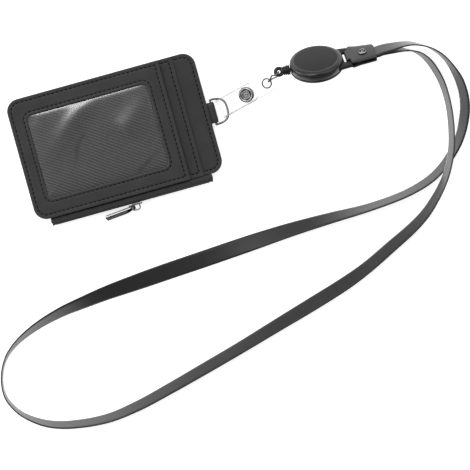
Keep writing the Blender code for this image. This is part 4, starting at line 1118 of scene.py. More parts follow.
def dress(obj: Piece, material: Material, body: Body, slot: str, *nodes: str) -> Piece:
    """Gives a piece its material and body, and hides the solids that it stands for.

    Args:
        obj: the piece.
        material: its material.
        body: the body that it rides on.
        slot: the record's material slot; not used.
        *nodes: the CAD nodes that it replaces.

    Returns:
        The piece.
    """
    obj.data.materials.clear()
    obj.data.materials.append(material)
    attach(obj, body.value)
    if nodes:
        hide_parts(*nodes)
    LOG.info("made %s on %s", obj.name, body.value)
    return obj


def repaint(node: str, material: Material) -> None:
    """Gives a CAD node that stays shown a better material.

    Args:
        node: its name.
        material: the material.
    """
    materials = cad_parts[node].data.materials
    materials.clear()
    materials.append(material)


def cut(obj: Piece, matrix: Matrix, radius: float, reach: float) -> None:
    """Cuts a round hole through a piece.

    Args:
        obj: the piece.
        matrix: the hole's axis as local Z.
        radius: the hole's radius.
        reach: how far the tool goes each way.
    """
    profile = np.array([[0.0, reach], [radius, reach], [radius, -reach], [0.0, -reach]])
    off_line = Matrix.Rotation(math.radians(2.6), 4, "Z")
    carve(obj, lathe("hole_tool", profile, matrix @ off_line, 48))


def carve(obj: Piece, tool: Piece) -> None:
    """Takes a tool's shape out of a piece and removes the tool.

    Args:
        obj: the piece.
        tool: a closed mesh.
    """
    modifier = obj.modifiers.new("hole", "BOOLEAN")
    modifier.operation = "DIFFERENCE"
    modifier.solver = "EXACT"
    modifier.object = tool
    bpy.context.view_layer.update()
    made = bpy.data.meshes.new_from_object(obj.evaluated_get(bpy.context.evaluated_depsgraph_get()))
    obj.modifiers.clear()
    obj.data = made
    bpy.data.objects.remove(tool, do_unlink=True)


@dataclass
class CardCase:
    """The leather case: its leaves, window, stitching, welt, tab and zip."""

    materials: Materials
    half_x: float = 0.0575
    half_y: float = 0.0366
    corner: float = 0.0075
    leaf: float = 0.0008
    window: Numbers = (-0.0473, -0.0257, 0.0265, 0.0254)
    window_panel_right: float = 0.0365
    slot_panel_right: float = 0.0449
    window_corner: float = 0.003
    cut_corner: float = 0.0006
    stitch_inset: float = 0.0024
    window_stitch: float = 0.0019
    welt_width: float = 0.003
    zip_y: float = -0.0406
    teeth_half: float = 0.0475
    tooth_pitch: float = 0.0024
    tooth_count: int = 39
    tooth: Numbers = (0.00045, 0.0007, 0.00074)
    tape_half: float = 0.0493
    slider_x: float = 0.0012
    mid_z: float = 0.0043
    top: dict[str, float] = field(init=False)
    low: dict[str, float] = field(init=False)
    panels: dict[str, Leaf] = field(init=False)
    opening: Leaf = field(init=False)

    def build(self) -> None:
        """Builds the whole case, each leaf at the height of its CAD node."""
        box = {name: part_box(name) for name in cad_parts}
        self.top = {name: pair[1].z for name, pair in box.items()}
        self.low = {name: pair[0].z for name, pair in box.items()}
        c, e = self.corner, self.cut_corner
        sizes = {
            "rear_slot_outer": (self.half_x, box["rear_slot_outer"][1].y, (c, c, e, e)),
            "rear_slot_inner": (self.half_x, box["rear_slot_inner"][1].y, (c, c, e, e)),
            "rear_cover": (self.half_x, self.half_y, (c,) * 4),
            "front_base": (self.half_x, self.half_y, (c,) * 4),
            "slot_panel": (self.slot_panel_right, self.half_y, (c, e, e, c)),
            "window_panel": (self.window_panel_right, self.half_y, (c, e, e, c)),
        }
        self.panels = {}
        for name, size in sizes.items():
            low, thick = self.low[name], self.top[name] - self.low[name]
            self.panels[name] = Leaf(-self.half_x, -self.half_y, *size, low, thick)
        panel = self.panels["window_panel"]
        self.opening = Leaf(*self.window, (self.window_corner,) * 4, panel.bottom, panel.thick)
        self.leaves()
        self.window_film()
        self.rows_of_stitches()
        self.welt()
        self.tab()
        for name, sign, phase in (("front", 1.0, 0.0), ("rear", -1.0, 0.5)):
            self.tape(name, sign)
            self.teeth(name, sign, phase)
        self.stops()

    def leaves(self) -> None:
        """Builds the covers, the slot panels and the window panel."""
        grooves = self.stitch_inset, self.window_stitch
        for name, leaf in self.panels.items():
            if name == "window_panel":
                made = frame_mesh(name + "_leather", leaf, self.opening, *grooves)
            else:
                made = leaf_mesh(name + "_leather", leaf)
            dress(made, self.materials.leather(), Body.CASE, "black_leather", name)

    def film_rise(self, x: Array, y: Array) -> Array:
        """How far the clear film stands up: pressed down round its opening, most sharply at the upper edge,
        with a fold that runs down from that edge, a fainter one beside it and a dip at one corner.

        Args:
            x: places along the case.
            y: places across it.

        Returns:
            Heights above the film's lowest place.
        """
        left, low, right, high = self.window
        nearest = np.minimum(np.minimum(x - left, right - x), y - low)
        sides = 1.0 - np.exp(-np.clip(nearest, 0.0, None) / 0.003)
        under = np.clip(high - y, 0.0, None)
        corner = 0.00035 * hill(np.hypot(x - left, y - high), 0.003)
        flat, rise = np.ones(x.shape), np.zeros(x.shape)
        for (x0, y0), (x1, y1), tall, wide, fade in FILM_FOLDS:
            length = math.hypot(x1 - x0, y1 - y0)
            along = ((x - x0) * (x1 - x0) + (y - y0) * (y1 - y0)) / length
            off = ((y - y0) * (x1 - x0) - (x - x0) * (y1 - y0)) / length
            share = hill(off, wide) * hill(along, np.where(along > 0, fade, 0.004))
            flat, rise = flat * (1.0 - 0.9 * share), rise + tall * share
        return sides * (rise * (1.0 - np.exp(-under / 0.007))
                        + flat * (0.00045 - corner) * (1.0 - np.exp(-under / 0.0013)))

    def window_film(self) -> None:
        """Builds the lining cloth and the clear film over it."""
        left, low, right, high = self.window
        e, in_by = self.cut_corner, 0.001
        radii = (self.corner - in_by, e, e, self.corner - in_by)
        lining = Leaf(-self.half_x + in_by, -self.half_y + in_by, self.window_panel_right - in_by,
                      self.half_y - in_by, radii, self.low["window_lining"], 0.0003)
        cloth = self.materials.cloth("lining_twill", LINING, Weave.TWILL)
        made = leaf_mesh("window_lining_cloth", lining, ())
        dress(made, cloth, Body.CASE, "black_cloth", "window_lining")
        margin, past = 0.00375, 0.0004
        x = np.concatenate([[left - margin], np.linspace(left - past, right + past, 230), [right + margin]])
        y = np.concatenate([[low - margin], np.linspace(low - past, high + past, 200), [high + margin]])
        gx, gy = np.meshgrid(x, y)
        z = self.low["window_sheet"] + 0.00015 + self.film_rise(gx, gy)
        film = skin("window_film", np.stack([gx, gy, z], axis=-1), 0.0002)
        dress(film, self.materials.film(), Body.CASE, "clear_film", "window_sheet")

    def rows_of_stitches(self) -> None:
        """Sews the edge, the window and the panels' edges, front and back."""
        thread = self.materials.solid("black_thread", THREAD)
        inset, sunk = self.stitch_inset, 0.0001
        over = self.top["window_panel"] - sunk
        rows = [("stitch_panel", self.panels["window_panel"].loop(inset), over, True),
                ("stitch_window", self.opening.loop(-self.window_stitch), over, True)]
        for name, node, edge in (("stitch_slot", "slot_panel", self.window_panel_right),
                                 ("stitch_base", "front_base", self.slot_panel_right)):
            start = edge + 0.0006
            loop = self.panels[node].loop(inset)
            keep = loop[loop[:, 0] > start]
            keep = keep[np.argsort(np.arctan2(keep[:, 1], keep[:, 0] - start))]
            low_end, high_end = [[start, -self.half_y + inset]], [[start, self.half_y - inset]]
            rows.append((name, np.concatenate([low_end, keep, high_end]), self.top[node] - sunk, False))
        back = self.panels["rear_cover"].loop(inset)
        below = back[back[:, 1] < self.panels["rear_slot_outer"].high - 0.001]
        order = np.argsort(np.arctan2(below[:, 0], -(below[:, 1] - 0.02)))
        rows.append(("stitch_rear", below[order], 0.0002, False))
        for name, path, height, closed in rows:
            dress(stitches(name, path, height, closed), thread, Body.CASE, "black_leather")

    def welt(self) -> None:
        """Builds the cloth-covered welt between the covers, with its patch round the tab."""
        hx, hy, w, c = self.half_x, self.half_y, self.welt_width, self.corner
        low, in_low, in_high, in_left = -hy + 0.0073, -0.00855, 0.00455, 0.0497
        outer = [arc(hx - c, hy - c, c, 0.0, 90.0), arc(c - hx, hy - c, c, 90.0, 180.0)]
        inner = [arc(c - hx, hy - c, c - w, 180.0, 90.0), arc(hx - c, hy - c, c - w, 90.0, 0.0)]
        notch = [[hx - w, low], [hx, low], [hx, in_low], [in_left, in_low], [in_left, in_high], [hx, in_high]]
        ends = [[-hx, low], [-hx + w, low]]
        deep = hx - 0.011
        patch = [[hx - w, in_high + w], [deep, in_high + w], [deep, in_low - w], [hx - w, in_low - w]]
        loop = np.concatenate([notch, *outer, ends, *inner, patch])
        obj = prism("pocket_welt_cloth", loop, self.low["pocket_welt"], self.top["pocket_welt"], 0.0003)
        cloth = self.materials.cloth("zip_tape_cloth", TAPE, Weave.TAPE)
        dress(obj, cloth, Body.CASE, "black_cloth", "pocket_welt")

    def tab(self) -> None:
        """Builds the leather tab round the D-ring's bar."""
        bend = arc(Ring.bar_x, 0.0, 0.00141, 90.0, -90.0, 15)
        upper = np.column_stack([np.linspace(0.05, self.half_x + 0.0003, 6), np.full(6, 0.00055)])
        path = np.concatenate([upper, bend, upper[::-1] * [1.0, -1.0]])
        middle = stood(path[:, 0], self.mid_z + path[:, 1], -0.002)
        normal = np.cross(directions(middle, False), ALONG_Y)
        tab = strip("d_ring_tab_leather", middle, ALONG_Y, normal, 0.00625, self.leaf)
        dress(tab, self.materials.leather(), Body.CASE, "black_leather", "d_ring_tab")

    def parting(self, x: Array) -> Array:
        """How far a row of the zip stands off its closed place.

        Args:
            x: places along the zip.

        Returns:
            Distances: nothing right of the slider and at the left end, most between them.
        """
        left = np.clip((x + self.teeth_half) / (0.25 * self.teeth_half), 0.0, 1.0)
        right = np.clip((self.slider_x + 0.0025 - x) / 0.0033, 0.0, 1.0)
        return 0.0008 * smooth(np.minimum(left, right))

    def tape(self, name: str, sign: float) -> None:
        """Builds a woven tape: flat inside the case, over a crest, and round to the row of teeth.

        Args:
            name: front or rear.
            sign: 1 for the front one, -1 for the rear one.
        """
        corner, roll = 0.0016, 0.0012
        turn = corner * np.sin(degrees(10.0, 90.0, 9))
        flat = np.linspace(-self.tape_half + corner, self.tape_half - corner, 160)
        x = np.concatenate([flat[0] - turn[::-1], flat, flat[-1] + turn])
        off = self.parting(x)[:, None]
        flat_z, crest, start_y, end_y = 0.00075, 0.00375, self.zip_y + roll, -self.half_y - GAP
        angle = degrees(0.0, 90.0, 12)
        arc_y = np.broadcast_to(self.zip_y + roll * (1 - np.cos(angle)), (len(x), 12))
        arc_z = 0.0023 + off + (0.00145 - off) * np.sin(angle)
        fall = np.linspace(0.0, 1.0, 15)[1:]
        share = np.interp(fall, [0.0, 0.12, 0.3, 0.5, 0.7, 0.88, 1.0],
                          [0.0, 0.70, 0.90, 0.94, 0.96, 0.98, 1.0])
        fall_y = np.broadcast_to(start_y + (end_y - start_y) * share, (len(x), 14))
        fall_z = np.broadcast_to(crest + (flat_z - crest) * smooth(fall), (len(x), 14))
        flat_y = np.broadcast_to(np.linspace(end_y, -self.half_y + 0.0066, 7)[1:], (len(x), 6))
        y = np.concatenate([arc_y, fall_y, flat_y], axis=1)
        near = np.clip((np.abs(x) - self.tape_half + corner) / corner, 0.0, 1.0)
        ends = 0.0018 * fall_off(near)[:, None]
        y = y + ends * np.clip((end_y - y) / (end_y - self.zip_y), 0.0, 1.0)
        z = self.mid_z + sign * np.concatenate([arc_z, fall_z, np.full((len(x), 6), flat_z)], axis=1)
        rows = np.stack([np.broadcast_to(x[:, None], y.shape), y, z], axis=-1)
        obj = skin(f"zip_tape_{name}_cloth", rows, 0.0005)
        cloth = self.materials.cloth("zip_tape_cloth", TAPE, Weave.TAPE)
        dress(obj, cloth, Body.CASE, "black_cloth", f"zip_tape_{name}")

    def teeth(self, name: str, sign: float, phase: float) -> None:
        """Builds a row of rounded teeth on the bead that they are clamped to.

        Args:
            name: front or rear.
            sign: 1 for the front one, -1 for the rear one.
            phase: share of the pitch that the row is set on by.
        """
        metal = self.materials.metal("zip_metal", DARK_METAL)
        x = -self.teeth_half + self.tooth_pitch * (np.arange(self.tooth_count) + 0.5 + phase)
        centres = stood(x, self.mid_z + sign * (0.00094 + self.parting(x)), self.zip_y)
        obj = pebbles(f"zip_teeth_{name}_metal", centres, self.tooth)
        dress(obj, metal, Body.CASE, "bright_metal", f"zip_teeth_{name}")
        x = np.linspace(-self.teeth_half, self.teeth_half, 160)
        middle = stood(x, self.mid_z + sign * (0.00165 + self.parting(x)), self.zip_y)
        bead = strip(f"zip_bead_{name}", middle, ALONG_Y, ALONG_Z, 0.0006, 0.0005, 7)
        dress(bead, self.materials.cloth("zip_tape_cloth", TAPE, Weave.TAPE), Body.CASE, "black_cloth")

    def stops(self) -> None:
        """Builds the two stops that bridge the ends of the tapes."""
        metal = self.materials.solid("black_metal", BLACK_METAL)
        for side, sign in (("left", -1.0), ("right", 1.0)):
            centre = np.array([[sign * (self.teeth_half + GAP + 0.0007), self.zip_y, self.mid_z]])
            obj = pebbles(f"zip_stop_{side}_metal", centre, (0.0007, 0.0007, 0.0019), 0.35)
            dress(obj, metal, Body.CASE, "bright_metal", f"zip_stop_{side}")


@dataclass
class Slider:
    """The zip's slider, two plates on a neck with a bridge, and the pull that hangs on the bridge."""

    materials: Materials
    x: float = 0.0012
    half: float = 0.0042
    left_half: float = 0.0039
    right_half: float = 0.0033
    plate: float = 0.0009
    zip_y: float = -0.0406
    mid_z: float = 0.0043
    pull_length: float = 0.0166
    pull_width: float = 0.0038
    pull_thick: float = 0.0013
    pull_wedge: float = 0.0010

    def upright(self, y: float) -> Matrix:
        """Frame of a plate that stands across the zip at y: local X along the zip, Y upwards, Z outwards."""
        return Matrix.Translation((0.0, y, self.mid_z)) @ Matrix.Rotation(math.pi / 2, 4, "X")

    def plan(self, grow: float) -> Array:
        """Outline of a plate, wider where the rows part.

        Args:
            grow: how far it is let out sideways.

        Returns:
            The rounded loop, counterclockwise, shaped (n, 2).
        """
        left, right, bevel = self.x - self.half, self.x + self.half, self.half / 4
        wide, slim = self.left_half + grow, self.right_half + grow
        points = [(left + bevel, -wide), (right - bevel, -slim), (right, bevel - slim), (right, slim - bevel),
                  (right - bevel, slim), (left + bevel, wide), (left, wide - bevel), (left, bevel - wide)]
        around = np.array([points[-1], *points, points[0]])
        return eased(around, 0.0007, 5)[1:-1]

    def build(self) -> None:
        """Builds the slider's body, its bridge and the pull."""
        metal = self.materials.metal("bright_chrome", CHROME)
        p = self.plate / 2
        outer_y, inner_y = self.zip_y - 0.001 - p, self.zip_y + 0.001 + p
        body = prism("slider_outer_plate", self.plan(0.0), -p, p, 0.00025)
        body.data.transform(self.upright(outer_y))
        dress(body, metal, Body.SLIDER, "bright_metal", "zipper_slider")
        inner = prism("slider_inner_plate", self.plan(-self.plate), -p, p, 0.00025)
        inner.data.transform(self.upright(inner_y))
        neck_x = self.x - self.half / 2
        around = outline(neck_x - 0.0008, -0.00014, neck_x + 0.0008, 0.00014, (0.0001,) * 4, 4, 1)
        neck = prism("slider_neck", around, -0.0011, 0.0011, 0.00005)
        neck.data.transform(self.upright(self.zip_y))
        pieces = [inner, neck]
        x = np.linspace(self.x - 0.7 * self.half, self.x + 0.7 * self.half, 9)
        side = np.interp(x, [x[0], x[-1]], [self.left_half, self.right_half]) - 0.0003
        for label, sign in (("low", -1.0), ("high", 1.0)):
            middle = stood(x, self.mid_z + sign * side, outer_y + p)
            pieces.append(strip(f"slider_flange_{label}", middle, ALONG_Y, ALONG_Z, p, 0.0006, 5))
        pieces.append(self.bridge(outer_y - p))
        for piece in pieces:
            dress(piece, metal, Body.SLIDER, "bright_metal")
        # The pull gets deeper painted shade, so its faces turned from the eye render dark.
        self.pull(self.materials.metal("pull_chrome", CHROME, 0.5, 0.02), outer_y - p)

    def bridge(self, face: float) -> Piece:
        """Builds the arch that the pull hangs on.

        Args:
            face: where the outer plate's face lies.

        Returns:
            The object.
        """
        half, reach = 0.55 * self.half, 0.0032
        turn = degrees(0.0, 180.0, 25)
        rise = -0.0015 - (reach - 0.0019) * np.sin(turn) ** 0.75
        bow = np.column_stack([-half * squared(np.cos(turn), 0.75), rise])
        way = np.concatenate([[[-half, 0.0003], [-half, -0.0006]], bow, [[half, -0.0006], [half, 0.0003]]])
        path = np.column_stack([way + [self.x, face], np.full(len(way), self.mid_z)])
        return tube("slider_bridge", path, 0.00042, 12)

    def pull(self, metal: Material, face: float) -> None:
        """Builds the flat pull with its eye and its slot.

        Args:
            metal: its material.
            face: where the outer plate's face lies.
        """
        wide, thick, eye = self.pull_width / 2, self.pull_thick, 0.0011
        near, far = eye + 0.0008, -self.pull_length
        turn = 1.0 - np.cos(degrees(0.0, 90.0, 7))
        x = np.concatenate([far + 0.0002 * turn, np.linspace(far + 0.0008, near - 0.0014, 24),
                            near - 0.00095 * turn[::-1]])
        ends = np.minimum((x - far) / 0.0002, (near - x) / 0.00095).clip(0.0, 1.0)
        half = wide - 0.0004 * fall_off(1.0 - ends)
        share = np.array([-1.0, -0.975, -0.93, -0.85, -0.5, 0.0, 0.5, 0.85, 0.93, 0.975, 1.0])
        edge = np.interp(np.abs(share), [0.93, 0.975, 1.0], [1.0, 0.85, 0.5])
        edge = edge * np.interp(ends, [0.0, 0.3, 1.0], [0.5, 0.9, 1.0])[:, None]
        wedge = self.pull_wedge * (0.5 - 0.5 * share) * np.clip(-x / 0.004, 0.0, 1.0)[:, None]
        rows = np.stack([np.broadcast_to(x[:, None], edge.shape), half[:, None] * share, wedge / 2], axis=-1)
        plate = skin("zipper_pull_metal", rows, ((thick + wedge) * edge)[..., None])
        off_line, long = 0.000013, self.pull_length
        for low, high, side in ((-eye, eye, eye), (-0.9 * long, -0.72 * long, wide / 3)):
            hole = outline(low, -side, high, side, (side / 2.2,) * 4, 6, 3) + off_line
            carve(plate, prism("pull_tool", hole, -2 * thick, 4 * thick, 0.0))
        at = (Matrix.Translation((self.x - 0.55 * self.half, face - 0.0011, self.mid_z))
              @ Matrix.Rotation(math.radians(5.0), 4, "Z") @ Matrix.Rotation(math.radians(-20.0), 4, "X")
              @ Matrix.Rotation(math.pi / 2, 4, "X"))
        plate.data.transform(at)
        dress(plate, metal, Body.PULL, "bright_metal", "zipper_pull")


REEL_DIP = math.radians(55.0)
REEL_RADIUS = 0.0158
REEL_THICK = 0.0072
REEL_HEIGHT = REEL_RADIUS * math.sin(REEL_DIP) + REEL_THICK / 2 * math.cos(REEL_DIP)
REEL_MATRIX = (Matrix.Translation((0.12619, 0.00918, REEL_HEIGHT))
               @ Matrix.Rotation(math.radians(-7.5), 4, "Z") @ Matrix.Rotation(-REEL_DIP, 4, "X")
               @ Matrix.Rotation(math.radians(6.0), 4, "Z"))
CORD_Z = -0.0002
CORD_RADIUS = 0.0004
STRAP_MATRIX = (Matrix.Translation((0.0638, -0.0013, 0.00285)) @ Matrix.Rotation(math.radians(13.2), 4, "Z")
                @ Matrix.Rotation(-math.radians(18.5), 4, "Y"))


@dataclass
class Ring:
    """The D-ring."""

    materials: Materials
    wire: float = 0.0013
    bar_x: float = 0.06
    centre_y: float = -0.0018
    half_width: float = 0.00745
    bow: float = 0.0086
    fullness: float = 2.9
    height: float = 0.0043

    def build(self) -> None:
        """Builds the ring as one closed wire: a straight bar and a full bow, with eased corners."""
        angle = np.linspace(-math.pi / 2, math.pi / 2, 41)
        power = 2 / self.fullness
        x = self.bow * squared(np.cos(angle), power)
        y = self.half_width * squared(np.sin(angle), power)
        bow = np.column_stack([self.bar_x + x, self.centre_y + y, np.full(41, self.height)])
        bar_y = np.linspace(self.half_width, -self.half_width, 15)[1:-1]
        bar = np.column_stack([np.full(13, self.bar_x), self.centre_y + bar_y, np.full(13, self.height)])
        path = smooth_closed(np.concatenate([bow, bar]), 150)
        obj = tube("d_ring_wire", path, self.wire / 2, 18, True)
        dress(obj, self.materials.metal("nickel_wire", NICKEL), Body.RING, "bright_metal", "d_ring")


@dataclass
class SnapStrap:
    """The clear vinyl strap with its fold, its short leaf, the snap and the eyelet."""

    materials: Materials
    width: float = 0.0117
    thick: float = 0.0006
    length: float = 0.0394
    flap: float = 0.0272
    loop_half: float = 0.002
    nose: float = 0.0017
    loop_end: float = 0.0125
    offset: float = 0.0005
    snap_x: float = 0.0195
    eyelet_x: float = 0.0336
    eyelet_hole: float = 0.0029
    stud_hole: float = 0.0015
    cap_hole: float = 0.0025

    def height(self, x: Array) -> Array:
        """Half the loop's height at distances from the fold: full round the ring, then closing smoothly."""
        share = np.clip((x - 0.4 * self.loop_end) / (0.6 * self.loop_end), 0.0, 1.0)
        return self.loop_half + (self.offset - self.loop_half) * smooth(share)

    def leaf(self, name: str, path: Array, end: float) -> Piece:
        """A leaf along a path of x and z in the strap's frame, with a round end.

        Args:
            name: the piece's name.
            path: shaped (n, 2).
            end: where the round end stops.

        Returns:
            The object.
        """
        half = self.width / 2
        back = np.clip(half - (end - path[:, 0]), 0.0, half)
        wide = np.sqrt(np.maximum(half**2 - back**2, (0.12 * half) ** 2))
        middle = stood(*path.T)
        obj = strip(name, middle, ALONG_Y, np.cross(directions(middle, False), ALONG_Y), wide, self.thick)
        obj.data.transform(STRAP_MATRIX)
        return obj

    def build(self) -> None:
        """Builds both leaves and their metal."""
        vinyl = self.materials.vinyl()
        nose = self.nose + self.thick / 2
        angle = degrees(90.0, 270.0, 17)
        fold = np.column_stack([nose + self.nose * np.cos(angle), self.loop_half * np.sin(angle)])
        stations = self.stations(nose + 0.3 * self.nose, self.length)
        path = np.concatenate([fold, np.column_stack([stations, -self.height(stations)])])
        long_leaf = self.leaf("strap_long_vinyl", path, self.length)
        cut(long_leaf, shifted(STRAP_MATRIX, self.eyelet_x, -self.offset), self.eyelet_hole, 0.002)
        cut(long_leaf, shifted(STRAP_MATRIX, self.snap_x, -self.offset), self.stud_hole, 0.0012)
        dress(long_leaf, vinyl, Body.STRAP, "clear_vinyl", "strap_long_leaf")
        stations = self.stations(nose + self.thick / 2 + GAP, self.flap)
        flap = self.leaf("strap_short_vinyl", np.column_stack([stations, self.height(stations)]), self.flap)
        cut(flap, shifted(STRAP_MATRIX, self.snap_x, self.offset), self.cap_hole, 0.0012)
        dress(flap, vinyl, Body.FLAP, "clear_vinyl", "strap_short_leaf")
        self.snap()
        self.eyelet()

    def stations(self, start: float, end: float) -> Array:
        """Distances along a leaf, closer together round its end.

        Args:
            start: the first.
            end: the last.

        Returns:
            The distances.
        """
        half = self.width / 2
        turn = degrees(4.0, 90.0, 14)
        return np.concatenate([np.linspace(start, end - half, 26), end - half + half * np.sin(turn)])

    def snap(self) -> None:
        """Builds the snap's cap with its ringed face and spring wires, and the stud beneath."""
        metal = self.materials.metal("bright_chrome", CHROME)
        nickel = self.materials.metal("nickel_wire", NICKEL)
        at = shifted(STRAP_MATRIX, self.snap_x)
        under = self.offset + self.thick / 2 + GAP
        crown = under + 0.0011
        face = np.array([[0.0, crown - 0.00075], [0.0028, crown - 0.00075], [0.0031, crown - 0.0003],
                         [0.0036, crown - 0.0001], [0.0042, crown - 0.0003], [0.0046, crown - 0.0007],
                         [0.0046, under], [0.0022, under], [0.0022, self.offset - 0.0003],
                         [0.0015, self.offset - 0.0003], [0.0015, under + GAP], [0.0, under + GAP]])
        cap = lathe("snap_cap_metal", eased(face, 0.0002), at, 96)
        dress(cap, nickel, Body.FLAP, "bright_metal", "snap_cap")
        turn = circle(72)
        round_it = np.column_stack([np.cos(turn), np.sin(turn)])
        for label, radius, power, wire, depth in (("rim", 0.0037, 1.0, 0.00042, 0.00042),
                                                  ("socket", 0.0022, 0.55, 0.00032, 0.0005),
                                                  ("boss", 0.00085, 1.0, 0.00028, 0.00055)):
            ring = np.column_stack([radius * squared(round_it, power), np.full(72, crown - depth)])
            dress(tube(f"snap_{label}", moved(ring, at), wire, 10, True), metal, Body.FLAP, "bright_metal")
        base = -under
        post = np.array([[0.0, under], [0.0011, under], [0.0012, under - 0.0002], [0.0012, base],
                         [0.0037, base], [0.0043, base - 0.0005], [0.0034, base - 0.0009],
                         [0.0, base - 0.0009]])
        stud = lathe("snap_stud_metal", eased(post, 0.00015), at)
        dress(stud, metal, Body.STRAP, "bright_metal", "snap_stud")

    def eyelet(self) -> None:
        """Builds the eyelet's rolled ring."""
        metal = self.materials.metal("nickel_wire", NICKEL)
        turn = circle(20)
        profile = np.column_stack([0.00275 + 0.00045 * np.cos(turn), 0.0006 * np.sin(turn)])
        at = shifted(STRAP_MATRIX, self.eyelet_x, -self.offset)
        ring = lathe("strap_eyelet_metal", profile, at, 56, True)
        dress(ring, metal, Body.STRAP, "bright_metal", "strap_eyelet")


def fitting_matrix() -> Matrix:
    """Frame of the fitting: origin on the cord's line at the reel's middle, Z towards the strap, X upwards.

    Returns:
        The frame.
    """
    outward = (REEL_MATRIX.to_3x3() @ Vector((-1.0, 0.0, 0.0))).normalized()
    up = Vector((0.0, 0.0, 1.0))
    up = (up - up.dot(outward) * outward).normalized()
    side = outward.cross(up)
    turned = Matrix((up, side, outward)).transposed().to_4x4()
    return Matrix.Translation(REEL_MATRIX @ Vector((0.0, 0.0, CORD_Z))) @ turned


@dataclass
class Fitting:
    """The ribbed end of the pull cord, the cord in it and the wire link on its ring head."""

    materials: Materials
    start: float = 0.0163
    length: float = 0.0045
    radius: float = 0.0034
    end_radius: float = 0.0027
    ribs: int = 4
    head_centre: float = 0.0227
    head_major: float = 0.0020
    head_tube: float = 0.00112
    bore: float = 0.00075
    seat_radius: float = 0.00115
    seat_depth: float = 0.0029
    knot_radius: float = 0.0008
    reach: float = 0.0019

    def build(self) -> None:
        """Builds the stub, its ring head, the pull cord and the link."""
        plastic = self.materials.solid("black_gloss", GLOSS_PLASTIC)
        at = fitting_matrix()
        share = np.linspace(0.0, 1.0, 49)
        outer = self.radius + (self.end_radius - self.radius) * share
        rib = 0.5 - 0.5 * np.cos(2 * math.pi * self.ribs * share)
        side = np.column_stack([outer - 0.0007 * rib**2.5, self.start + self.length * share])[::-1]
        end = self.start + self.length
        head = np.array([[0.0, end + 0.0008], [0.001, end + 0.0008], [0.0016, end + 0.0006]])
        bore, seat, deep = self.bore, self.seat_radius, self.seat_depth
        inner = np.array([[bore, 0.0], [bore, 0.0008], [seat, 0.0008], [seat, deep], [0.0, deep]])
        inner = inner + [0.0, self.start]
        stub = lathe("end_fitting_stub", np.concatenate([head, side, inner]), at, 48)
        dress(stub, plastic, Body.FITTING, "black_plastic", "end_fitting")
        turn = circle(64)
        bow = self.head_major * np.column_stack([np.sin(turn), np.cos(turn)])
        ring = np.column_stack([np.zeros(64), bow + [0.0, self.head_centre]])
        obj = tube("end_fitting_head", moved(ring, at), self.head_tube, 18, True)
        dress(obj, plastic, Body.FITTING, "black_plastic")
        self.pull_cord(at)
        self.link(at)

    def pull_cord(self, at: Matrix) -> None:
        """Builds the cord from the spool to its knot, fixed in place; the real cord draws out as the fitting
        is pulled.

        Args:
            at: the fitting's frame.
        """
        ball = degrees(150.0, 8.0, 9)
        size = self.knot_radius
        knot = self.start + self.seat_depth - GAP - size
        end_z = knot - 0.0009
        z = np.concatenate([np.linspace(0.01195, end_z, 40), knot + size * np.cos(ball)])
        radius = np.concatenate([np.full(40, CORD_RADIUS), size * np.sin(ball)])
        path = moved(stood(np.zeros(49), z), at)
        obj = tube("pull_cord_braid", path, radius, 10)
        obj.data.materials.append(self.materials.solid("cord_braid", CORD, 2500.0, 0.1))
        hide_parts("pull_cord")
        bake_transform(obj)
        LOG.info("made %s between the reel and the fitting", obj.name)

    def link(self, at: Matrix) -> None:
        """Builds the closed wire from the ring head to the eyelet.

        Args:
            at: the fitting's frame.
        """
        m = np.array(at)
        head = moved(np.array([0.0, 0.0, self.head_centre]), at)
        eyelet = moved(np.array([SnapStrap.eyelet_x, 0.0, -SnapStrap.offset]), STRAP_MATRIX)
        normal = np.array(STRAP_MATRIX)[:3, 2]
        head = head + self.head_major * in_plane(eyelet - head, m[:3, 0])
        eyelet = eyelet + 0.00275 * in_plane(head - eyelet, normal)
        length = np.linalg.norm(eyelet - head)
        along = (eyelet - head) / length
        normal = in_plane(normal, along)
        side = np.cross(along, normal)
        length += self.reach + 0.0013
        quarter = degrees(0.0, 90.0, 12)
        at_head = np.column_stack([self.reach * (1 - np.cos(quarter)), 0.0023 * np.sin(quarter)])
        at_end = np.column_stack([length - 0.0016 * (1 - np.sin(quarter)), 0.0016 * np.cos(quarter)])
        step = np.linspace(0.0, 1.0, 12)[1:-1, None]
        leg = at_head[-1] * (1 - step) + at_end[0] * step
        way = np.concatenate([at_head, leg, at_end])
        loop = np.concatenate([way, way[1:-1][::-1] * [1.0, -1.0]])
        turns = np.radians([-6.0, -6.0, 34.0, 0.0, 0.0])
        twist = np.interp(loop[:, 0] / length, [0.0, 0.2, 0.42, 0.8, 1.0], turns)
        across = np.cos(twist)[:, None] * normal + np.sin(twist)[:, None] * side
        path = head + (loop[:, :1] - self.reach) * along + loop[:, 1:] * across
        obj = tube("wire_link_wire", path, 0.00047, 14, True)
        dress(obj, self.materials.metal("nickel_wire", NICKEL), Body.LINK, "bright_metal", "wire_link")


def rays(loop: Array, centre: Array, angle: Array) -> Array:
    """How far a closed outline lies from a point in each direction.

    Args:
        loop: the outline, shaped (n, 2).
        centre: a point inside it.
        angle: directions.

    Returns:
        The farthest crossing in each direction.
    """
    a = loop - centre
    edge = np.roll(a, -1, axis=0) - a
    way = np.column_stack([np.cos(angle), np.sin(angle)])
    cross = way[:, None, 0] * edge[None, :, 1] - way[:, None, 1] * edge[None, :, 0]
    cross = np.where(np.abs(cross) < 1e-12, 1e-12, cross)
    far = (a[None, :, 0] * edge[None, :, 1] - a[None, :, 1] * edge[None, :, 0]) / cross
    share = (a[None, :, 0] * way[:, None, 1] - a[None, :, 1] * way[:, None, 0]) / cross
    hit = (share >= -1e-6) & (share <= 1.0 + 1e-6) & (far > 0)
    return np.where(hit, far, 0.0).max(axis=1)


